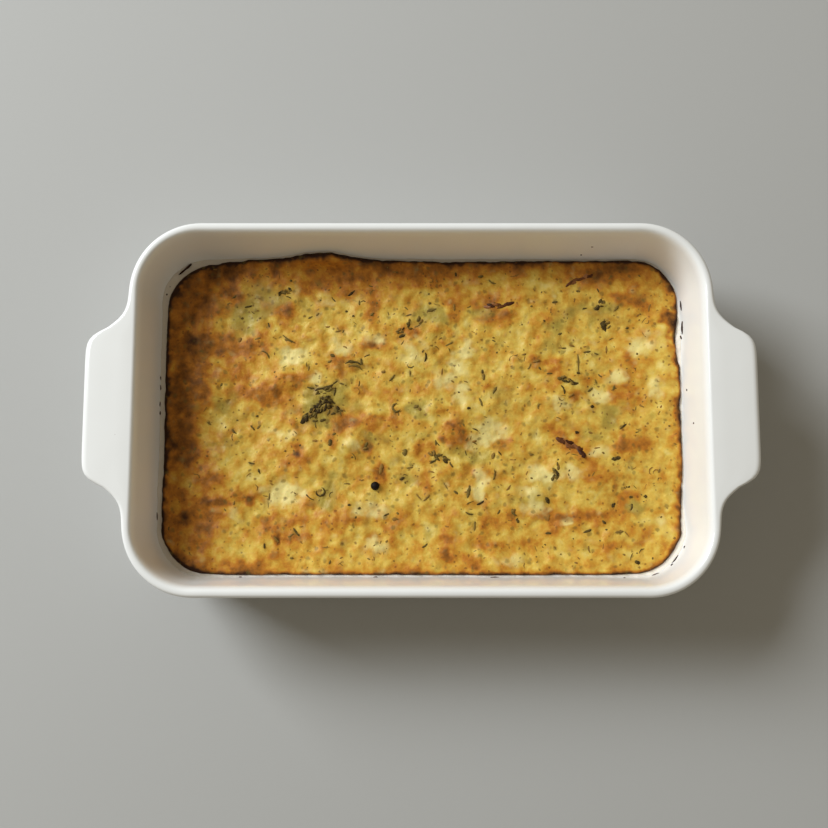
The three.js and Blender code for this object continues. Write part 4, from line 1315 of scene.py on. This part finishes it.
def on_wall(x, y, z, turn):
    """Matrix that lays a piece along the inner wall at height z, at the place nearest to (x, y)."""
    station, out, _ = corner_share(x, y)
    point = station + out * cavity_radius(z)
    along = Vector((-out.y, out.x, 0))
    normal = Vector((-out.x * math.cos(WALL_DRAFT), -out.y * math.cos(WALL_DRAFT), math.sin(WALL_DRAFT)))
    up = normal.cross(along)
    axes = Matrix((along, up, normal)).transposed().to_4x4()
    return Matrix.Translation((point.x, point.y, z)) @ axes @ Matrix.Rotation(turn, 4, "Z")


def lying_flat(scrap, sunk=0.0):
    """Matrix that lays a scrap level at its own height, sunk by that much."""
    turn = Matrix.Rotation(math.radians(scrap.turn), 4, "Z")
    return Matrix.Translation((*scrap.at, scrap.z - sunk)) @ turn


def scraps_mesh():
    """Scraps that baked on to the wall and the egg film, and crumbs on the handles."""
    rng = random.Random(5)
    mesh = tinted_mesh()
    for scrap in WALL_SCRAPS:
        place = on_wall(*scrap.at, scrap.z, math.radians(scrap.turn))
        size = (scrap.length, scrap.width, SCRAP_THICKNESS)
        sliver(mesh, size, rng.uniform(-0.5, 0.5), place, 0.4 * rng.random(), sides=8, rings=8)
    for scrap in FILM_SCRAPS:
        size = (scrap.length, scrap.width, SCRAP_THICKNESS)
        sliver(mesh, size, 0.3, lying_flat(scrap), 0.1, sides=8, rings=8)
    for crumb in HANDLE_CRUMBS:
        size = (crumb.length, crumb.width, CRUMB_THICKNESS)
        sliver(mesh, size, 0, lying_flat(crumb, CRUMB_THICKNESS / 2), 0.9, sides=8, rings=6)
    return mesh


# Materials


def add_node(tree, kind, inputs=None, **settings):
    """Adds a node, sets its own properties, and fills its inputs with values or links."""
    made = tree.nodes.new(kind)
    for name, value in settings.items():
        setattr(made, name, value)
    for key, value in (inputs or {}).items():
        if isinstance(value, bpy.types.NodeSocket):
            tree.links.new(value, made.inputs[key])
        else:
            made.inputs[key].default_value = value
    return made


def per_mm(size):
    """Scale of a pattern whose repeat is size millimetres, on coordinates in metres."""
    return 1 / (size * MM)


def opaque(colour):
    return (*colour, 1.0)


def lumpy_noise(tree, place, size, detail):
    """A noise node whose lumps measure about size millimetres."""
    return add_node(tree, "ShaderNodeTexNoise", {"Vector": place, "Scale": per_mm(size), "Detail": detail})


def attribute(tree, name):
    """Output of the piece's own attribute of that name."""
    return add_node(tree, "ShaderNodeAttribute", attribute_name=name).outputs["Fac"]


def maths(tree, operation, *values):
    """Output of one sum of numbers and links."""
    return add_node(tree, "ShaderNodeMath", dict(enumerate(values)), operation=operation).outputs[0]


def vector_maths(tree, operation, inputs, output=0):
    """Output of one sum of vectors."""
    return add_node(tree, "ShaderNodeVectorMath", inputs, operation=operation).outputs[output]


def mapped(tree, value, source, target=(0.0, 1.0), curve="LINEAR"):
    """Output of a value carried from the range source to the range target."""
    inputs = dict(zip(("Value", "From Min", "From Max", "To Min", "To Max"), (value, *source, *target)))
    return add_node(tree, "ShaderNodeMapRange", inputs, interpolation_type=curve).outputs["Result"]


def laid_over(tree, under, colour, share):
    """Output of a colour of the settings laid over what lies under it, by a share from 0 to 1."""
    inputs = {0: share, 6: under, 7: opaque(colour)}
    return add_node(tree, "ShaderNodeMix", inputs, data_type="RGBA").outputs[2]


def bumped(tree, height, strength, depth, normal=None):
    """Output of a bump of depth millimetres, on top of another bump where one is given."""
    inputs = {"Height": height, "Strength": strength, "Distance": depth * MM}
    if normal is not None:
        inputs["Normal"] = normal
    return add_node(tree, "ShaderNodeBump", inputs).outputs["Normal"]


def colour_ramp(tree, amount, tones):
    """Output of a ramp through tones, each a place from 0 to 1 and a colour of the settings."""
    ramp = add_node(tree, "ShaderNodeValToRGB", {"Fac": amount})
    ramp.color_ramp.elements[0].color = opaque(tones[0][1])
    ramp.color_ramp.elements[1].color = opaque(tones[-1][1])
    for position, tone in tones[1:-1]:
        ramp.color_ramp.elements.new(position).color = opaque(tone)
    return ramp.outputs["Color"]


def new_material(name):
    """An empty material, its tree, and the tree's Object coordinates."""
    material = bpy.data.materials.new(name)
    material.use_nodes = True
    tree = material.node_tree
    tree.nodes.clear()
    coordinates = add_node(tree, "ShaderNodeTexCoord").outputs["Object"]
    return material, tree, coordinates


def finish_material(tree, inputs):
    """Adds the shader with these inputs and joins it to the material's output."""
    shader = add_node(tree, "ShaderNodeBsdfPrincipled", inputs)
    add_node(tree, "ShaderNodeOutputMaterial", {"Surface": shader.outputs["BSDF"]})


def glazed_stoneware(settings):
    """White glazed stoneware, fired: a warm white body under clear glaze that pools in slow waves.

    The eye sees a soft gloss, slightly uneven reflections, an unglazed foot, and a brown line of baked egg.
    """
    material, tree, place = new_material("white glazed stoneware")
    height = add_node(tree, "ShaderNodeSeparateXYZ", {"Vector": place}).outputs["Z"]
    pooled = lumpy_noise(tree, place, GLAZE_POOL_SIZE, 2.0).outputs["Fac"]
    body = laid_over(tree, opaque(settings.glaze_deep), settings.glaze, pooled)

    ragged = lumpy_noise(tree, place, STAIN_RAG_SIZE, 4.0).outputs["Fac"]
    line = mapped(tree, ragged, (0.35, 0.7), (STAIN_LOW * MM, STAIN_HIGH * MM))
    film = mapped(tree, maths(tree, "SUBTRACT", line, height), (0.0, 1.0 * MM), (0.0, STAIN_MOST))
    # The brown line is strongest towards the back left, where the wall lies in shade, and faint towards the
    # front right
    towards_back_left = vector_maths(tree, "DOT_PRODUCT", {0: place, 1: (-1.0, 1.2, 0.0)}, "Value")
    shaded = mapped(tree, towards_back_left, (0.0, 80 * MM), (0.15, 1.0))
    wall = maths(tree, "MULTIPLY", shaded, attribute(tree, "inside"))
    stained = maths(tree, "MULTIPLY", film, wall)
    colour = laid_over(tree, body, settings.stain, stained)

    foot = mapped(tree, height, (0.4 * MM, 0.1 * MM))
    gloss = mapped(tree, maths(tree, "ADD", stained, foot), (0.0, 1.0), (GLAZE_ROUGHNESS, CLAY_ROUGHNESS))
    waves = lumpy_noise(tree, place, GLAZE_WAVE_SIZE, 1.0).outputs["Fac"]
    inputs = {
        "Base Color": laid_over(tree, colour, settings.foot, foot),
        "Roughness": gloss,
        "Normal": bumped(tree, waves, 0.25, 1.2),
        "IOR": GLAZE_IOR,
    }
    finish_material(tree, inputs)
    return material


def baked_souffle(settings):
    """Baked egg and onion: a moist golden curd with a toasted skin.

    The eye sees straw yellow that bakes through gold and orange to brown, pale and olive moist hollows, a
    dark crust at the wall with painted shade by the left and back walls, herbs sunk under the skin, and a low
    oily sheen that the toasted skin loses.
    """
    material, tree, place = new_material("baked egg and onion")
    shares = {name: attribute(tree, name) for name in ("baked", "pale", "olive", "stain", "film")}
    middle = lumpy_noise(tree, place, MIDDLE_GRAIN_SIZE, 3.0)
    fine = lumpy_noise(tree, place, FINE_GRAIN_SIZE, 2.0)

    def plus_grain(amount, grain, strength):
        centred = maths(tree, "MULTIPLY_ADD", grain.outputs["Fac"], strength, -strength / 2)
        return maths(tree, "ADD", amount, centred)

    def mask(amount, low, high, most):
        return mapped(tree, amount, (low, high), (0.0, most), "SMOOTHSTEP")

    tones = [
        (0.0, settings.straw),
        (0.25, settings.golden),
        (0.42, settings.deep_golden),
        (0.56, settings.toasted),
        (0.72, settings.browned),
        (0.88, settings.dark_crust),
        (1.0, settings.burnt),
    ]
    baking = plus_grain(plus_grain(shares["baked"], middle, 0.45), fine, 0.16)
    colour = colour_ramp(tree, baking, tones)
    raw = mapped(tree, shares["baked"], (0.85, 0.5))
    olive = maths(tree, "MULTIPLY", mask(plus_grain(shares["olive"], middle, 0.8), 0.15, 1.0, 0.7), raw)
    pale = maths(tree, "MULTIPLY", mask(plus_grain(shares["pale"], middle, 1.3), 0.15, 1.25, 0.9), raw)
    stain = mask(plus_grain(shares["stain"], fine, 0.8), 0.1, 0.9, 0.55)
    colour = laid_over(tree, colour, settings.olive, olive)
    colour = laid_over(tree, colour, settings.pale, pale)
    colour = laid_over(tree, colour, settings.herb_stain, stain)

    swirl = vector_maths(tree, "SCALE", {0: middle.outputs["Color"], "Scale": SWIRL_REACH * MM})
    shifted = vector_maths(tree, "ADD", {0: place, 1: swirl})
    drifts = lumpy_noise(tree, place, DRIFT_SIZE, 1.0).outputs["Fac"]
    crowded = maths(tree, "MULTIPLY_ADD", shares["olive"], 0.35, drifts)
    sunk_herbs = [
        (4.2, 0.36, 0.12, 0.55, settings.sunk_herb),
        (2.9, 0.28, 0.1, 0.65, settings.herb_dust),
    ]
    for spacing, faint, full, most, tone in sunk_herbs:
        cells = add_node(tree, "ShaderNodeTexVoronoi", {"Vector": shifted, "Scale": per_mm(spacing)})
        chance = add_node(tree, "ShaderNodeSeparateColor", {"Color": cells.outputs["Color"]}).outputs["Red"]
        chosen = maths(tree, "GREATER_THAN", crowded, chance)
        spot = mask(cells.outputs["Distance"], faint, full, most)
        colour = laid_over(tree, colour, tone, maths(tree, "MULTIPLY", spot, chosen))
    # The film's share is lower where the wall is in shade, so there the film carries painted shade
    colour = laid_over(tree, colour, settings.film, shares["film"])

    grain = bumped(tree, fine.outputs["Fac"], 0.5, 0.3)
    inputs = {
        "Base Color": colour,
        "Roughness": mapped(tree, shares["baked"], (0.2, 0.8), (MOIST_ROUGHNESS, TOASTED_ROUGHNESS)),
        "Normal": bumped(tree, middle.outputs["Fac"], 0.5, 1.0, grain),
        "Subsurface Weight": 0.08,
        "Subsurface Radius": (0.002, 0.0013, 0.0006),
        "Subsurface Scale": 1.0,
        "IOR": EGG_IOR,
    }
    finish_material(tree, inputs)
    return material


def tinted_material(name, dark, middle, light, roughness):
    """A dry matt crumb or leaf whose colour runs from dark to light by its own tint, broken by 1 mm grain."""
    material, tree, place = new_material(name)
    grain = lumpy_noise(tree, place, 1.0, 3.0).outputs["Fac"]
    shade = maths(tree, "MULTIPLY_ADD", grain, 0.8, -0.4)
    total = maths(tree, "ADD", attribute(tree, "tint"), shade)
    inputs = {
        "Base Color": colour_ramp(tree, total, [(0.0, dark), (0.5, middle), (1.0, light)]),
        "Roughness": roughness,
        "Normal": bumped(tree, grain, 0.5, 0.3),
        "Specular IOR Level": 0.15,
    }
    finish_material(tree, inputs)
    return material


def matt_floor(settings):
    """Pale matt board: an even light grey with a faint tooth, so that nothing shines beside the glaze."""
    material, tree, place = new_material("pale matt board")
    tooth = lumpy_noise(tree, place, 2.5, 3.0).outputs["Fac"]
    inputs = {"Base Color": opaque(settings.floor), "Roughness": 0.9, "Normal": bumped(tree, tooth, 0.1, 0.2)}
    finish_material(tree, inputs)
    return material


# Pieces


def finished(mesh, name, material, sharp_angle=math.pi):
    """Turns a mesh in millimetres into a piece in metres that rides on the dish's body."""
    bmesh.ops.scale(mesh, vec=(MM, MM, MM), verts=mesh.verts)
    data = bpy.data.meshes.new(name)
    mesh.to_mesh(data)
    mesh.free()
    data.shade_smooth()
    if sharp_angle < math.pi:
        data.set_sharp_from_angle(angle=sharp_angle)
    data.materials.append(material)
    piece = bpy.data.objects.new(name, data)
    bpy.context.scene.collection.objects.link(piece)
    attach(piece, "root")
    return piece


def colour_property(name, description, code):
    return FloatVectorProperty(
        name=name, description=description, subtype="COLOR", size=3, min=0, max=1, default=linear(code)
    )


class DishSettings(PropertyGroup):
    """Finish and fineness of the dish."""

    corner_steps: IntProperty(
        name="Corner steps", description="Steps round each corner of the dish", default=20, min=6, max=64
    )
    glaze: colour_property("Glaze", "White of the glaze", "#f1f1ef")
    glaze_deep: colour_property("Deep glaze", "White of the glaze where it lies thicker", "#edece9")
    foot: colour_property("Foot", "Bare clay of the foot rim", "#cfc0a6")
    stain: colour_property("Baked-on egg", "Brown film on the wall along the souffle", "#6b3f1c")
    scrap_dark: colour_property("Dark scrap", "Burnt egg scraps, darkest", "#2a1208")
    scrap: colour_property("Scrap", "Burnt egg scraps", "#4c2410")
    scrap_light: colour_property("Light scrap", "Burnt egg scraps, lightest", "#6e3c1a")


class SouffleSettings(PropertyGroup):
    """Fineness and colours of the souffle."""

    step: FloatProperty(
        name="Mesh step",
        description="Distance between points of the souffle's top",
        default=0.8 * MM,
        min=0.4 * MM,
        max=4 * MM,
        unit="LENGTH",
        precision=4,
    )
    straw: colour_property("Straw", "Lightest yellow of the egg", "#e8d484")
    golden: colour_property("Golden", "Gold of the baked egg", "#d9b650")
    deep_golden: colour_property("Deep golden", "Deeper gold, where the top is warmer", "#ca9432")
    toasted: colour_property("Toasted", "Orange brown of the toasted skin", "#b77322")
    browned: colour_property("Browned", "Brown of well baked blisters", "#8b561a")
    dark_crust: colour_property("Dark crust", "Brown of the crust by the wall", "#583410")
    burnt: colour_property("Burnt", "Scorched crust", "#341a09")
    pale: colour_property("Pale curd", "Moist curd that has not coloured", "#e8d68a")
    olive: colour_property("Olive", "Egg tinted by herb and onion", "#9c8d40")
    film: colour_property("Egg film", "Thin white film between the drawn-back edge and the wall", "#f0e5d6")
    herb_stain: colour_property("Herb stain", "Egg stained round a herb", "#75602a")
    sunk_herb: colour_property("Sunk herb", "Herb seen through the skin", "#6e5c28")
    herb_dust: colour_property("Herb dust", "Fine brown herb crumbs", "#6a421a")


class ToppingSettings(PropertyGroup):
    """Number and size of the herb flakes, and the colours of what lies on the top."""

    flakes: IntProperty(
        name="Flakes", description="Small herbs in drifts on the top", default=360, min=0, max=2000
    )
    shortest: FloatProperty(
        name="Shortest flake",
        description="Length of the smallest herb flake",
        default=0.8 * MM,
        min=0.4 * MM,
        max=4 * MM,
        unit="LENGTH",
        precision=4,
    )
    herb_dark: colour_property("Dark herb", "Darkest dried herb", "#382a12")
    herb: colour_property("Herb", "Dried herb", "#78642e")
    herb_light: colour_property("Light herb", "Browned herb", "#946a2e")
    onion_dark: colour_property("Dark onion", "Burnt onion", "#3a1d10")
    onion: colour_property("Onion", "Browned red onion", "#6e401e")
    onion_light: colour_property("Light onion", "Lighter browned onion", "#97633a")
    pepper_dark: colour_property("Dark pepper", "Hollows of the peppercorn", "#120b08")
    pepper: colour_property("Pepper", "Husk of the peppercorn", "#1d120c")
    pepper_light: colour_property("Light pepper", "Ridges of the peppercorn", "#2e1e15")


class StageSettings(PropertyGroup):
    """Camera, lights and floor."""

    lens: FloatProperty(
        name="Lens", description="Focal length of the camera", default=50, min=20, max=200, unit="CAMERA"
    )
    floor: colour_property("Floor", "Colour of the floor", "#b4b3b0")
    window: FloatProperty(
        name="Window", description="Power of the large light", default=54, min=0, max=500, unit="POWER"
    )
    sky: FloatProperty(
        name="Sky", description="Strength of the light from all round", default=0.27, min=0, max=4
    )


class SOUFFLE_OT_dish(Operator):
    """Builds the stoneware dish with its two lug handles"""

    bl_idname = "souffle.dish"
    bl_label = "Build dish"

    def execute(self, context):
        settings = context.scene.souffle_dish
        mesh = dish_mesh(settings.corner_steps)
        glaze = glazed_stoneware(settings)
        piece = finished(mesh, "stoneware_dish", glaze, math.radians(50))
        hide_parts("dish")
        return {"FINISHED"}


class SOUFFLE_OT_souffle(Operator):
    """Builds the baked souffle"""

    bl_idname = "souffle.souffle"
    bl_label = "Build souffle"

    def execute(self, context):
        settings = context.scene.souffle_food
        mesh = souffle_mesh(settings.step / MM)
        piece = finished(mesh, "baked_onion_souffle", baked_souffle(settings))
        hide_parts("souffle")
        return {"FINISHED"}


class SOUFFLE_OT_toppings(Operator):
    """Builds the herb flakes, leaves, onion shreds and peppercorn"""

    bl_idname = "souffle.toppings"
    bl_label = "Build toppings"

    def execute(self, context):
        settings = context.scene.souffle_toppings
        herb_tones = (settings.herb_dark, settings.herb, settings.herb_light)
        onion_tones = (settings.onion_dark, settings.onion, settings.onion_light)
        pepper_tones = (settings.pepper_dark, settings.pepper, settings.pepper_light)
        herb = tinted_material("dried herb leaf", *herb_tones, roughness=0.75)
        onion = tinted_material("browned onion skin", *onion_tones, roughness=0.4)
        pepper = tinted_material("black peppercorn husk", *pepper_tones, roughness=0.6)
        flakes = herb_flakes_mesh(settings.flakes, settings.shortest / MM)
        finished(flakes, "herb_flakes", herb)
        finished(herb_leaves_mesh(), "herb_leaves", herb)
        finished(onion_mesh(), "onion_shreds", onion)
        finished(peppercorn_mesh(), "peppercorn", pepper)
        return {"FINISHED"}


class SOUFFLE_OT_scraps(Operator):
    """Builds the scraps baked on to the wall and the crumbs on the handles"""

    bl_idname = "souffle.scraps"
    bl_label = "Build scraps"

    def execute(self, context):
        settings = context.scene.souffle_dish
        tones = (settings.scrap_dark, settings.scrap, settings.scrap_light)
        burnt_egg = tinted_material("burnt egg scrap", *tones, roughness=0.7)
        finished(scraps_mesh(), "baked_on_scraps", burnt_egg)
        return {"FINISHED"}


class SOUFFLE_OT_stage(Operator):
    """Builds the floor, the lights and the camera"""

    bl_idname = "souffle.stage"
    bl_label = "Build stage"

    def execute(self, context):
        settings = context.scene.souffle_stage
        scene = context.scene
        scene.view_settings.view_transform = "Standard"

        mesh = bmesh.new()
        bmesh.ops.create_grid(mesh, x_segments=1, y_segments=1, size=FLOOR_HALF_SIZE)
        data = bpy.data.meshes.new("floor")
        mesh.to_mesh(data)
        mesh.free()
        data.materials.append(matt_floor(settings))
        floor = bpy.data.objects.new("floor", data)
        scene.collection.objects.link(floor)

        light = bpy.data.lights.new("window", "AREA")
        light.shape = "SQUARE"
        light.size = WINDOW_SIZE
        light.energy = settings.window
        light.color = WINDOW_COLOUR
        window = bpy.data.objects.new("window", light)
        window.location = WINDOW_PLACE
        window.rotation_euler = (-window.location).to_track_quat("-Z", "Y").to_euler()
        scene.collection.objects.link(window)

        world = bpy.data.worlds.new("studio")
        world.use_nodes = True
        background = world.node_tree.nodes["Background"]
        background.inputs["Color"].default_value = SKY_COLOUR
        background.inputs["Strength"].default_value = settings.sky
        scene.world = world

        lens = bpy.data.cameras.new("camera")
        lens.lens = settings.lens
        lens.sensor_width = SENSOR_WIDTH_MM
        camera = bpy.data.objects.new("camera", lens)
        camera.location = CAMERA_PLACE
        camera.rotation_euler = (CAMERA_TILT, 0, 0)
        scene.collection.objects.link(camera)
        scene.camera = camera
        return {"FINISHED"}


class SOUFFLE_PT_panel(Panel):
    """Lists the settings and the steps that build the dish of souffle"""

    bl_idname = "SOUFFLE_PT_panel"
    bl_label = "Onion souffle dish"
    bl_space_type = "VIEW_3D"
    bl_region_type = "UI"
    bl_category = "Souffle"

    def draw(self, context):
        groups = [
            ("souffle_dish", ["souffle.dish", "souffle.scraps"]),
            ("souffle_food", ["souffle.souffle"]),
            ("souffle_toppings", ["souffle.toppings"]),
            ("souffle_stage", ["souffle.stage"]),
        ]
        for group, operators in groups:
            box = self.layout.box()
            settings = getattr(context.scene, group)
            for name in settings.bl_rna.properties.keys():
                if name not in {"rna_type", "name"}:
                    box.prop(settings, name)
            for operator in operators:
                box.operator(operator)


SETTINGS = {
    "souffle_dish": DishSettings,
    "souffle_food": SouffleSettings,
    "souffle_toppings": ToppingSettings,
    "souffle_stage": StageSettings,
}
OPERATORS = [
    SOUFFLE_OT_stage,
    SOUFFLE_OT_dish,
    SOUFFLE_OT_souffle,
    SOUFFLE_OT_toppings,
    SOUFFLE_OT_scraps,
]


def register():
    for name, group in SETTINGS.items():
        bpy.utils.register_class(group)
        setattr(bpy.types.Scene, name, PointerProperty(type=group))
    for operator in OPERATORS:
        bpy.utils.register_class(operator)
    bpy.utils.register_class(SOUFFLE_PT_panel)


def unregister():
    bpy.utils.unregister_class(SOUFFLE_PT_panel)
    for operator in reversed(OPERATORS):
        bpy.utils.unregister_class(operator)
    for name, group in SETTINGS.items():
        delattr(bpy.types.Scene, name)
        bpy.utils.unregister_class(group)


def main():
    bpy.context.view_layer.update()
    register()
    bpy.ops.souffle.stage()
    bpy.ops.souffle.dish()
    bpy.ops.souffle.souffle()
    bpy.ops.souffle.toppings()
    bpy.ops.souffle.scraps()


if __name__ == "__main__":
    main()
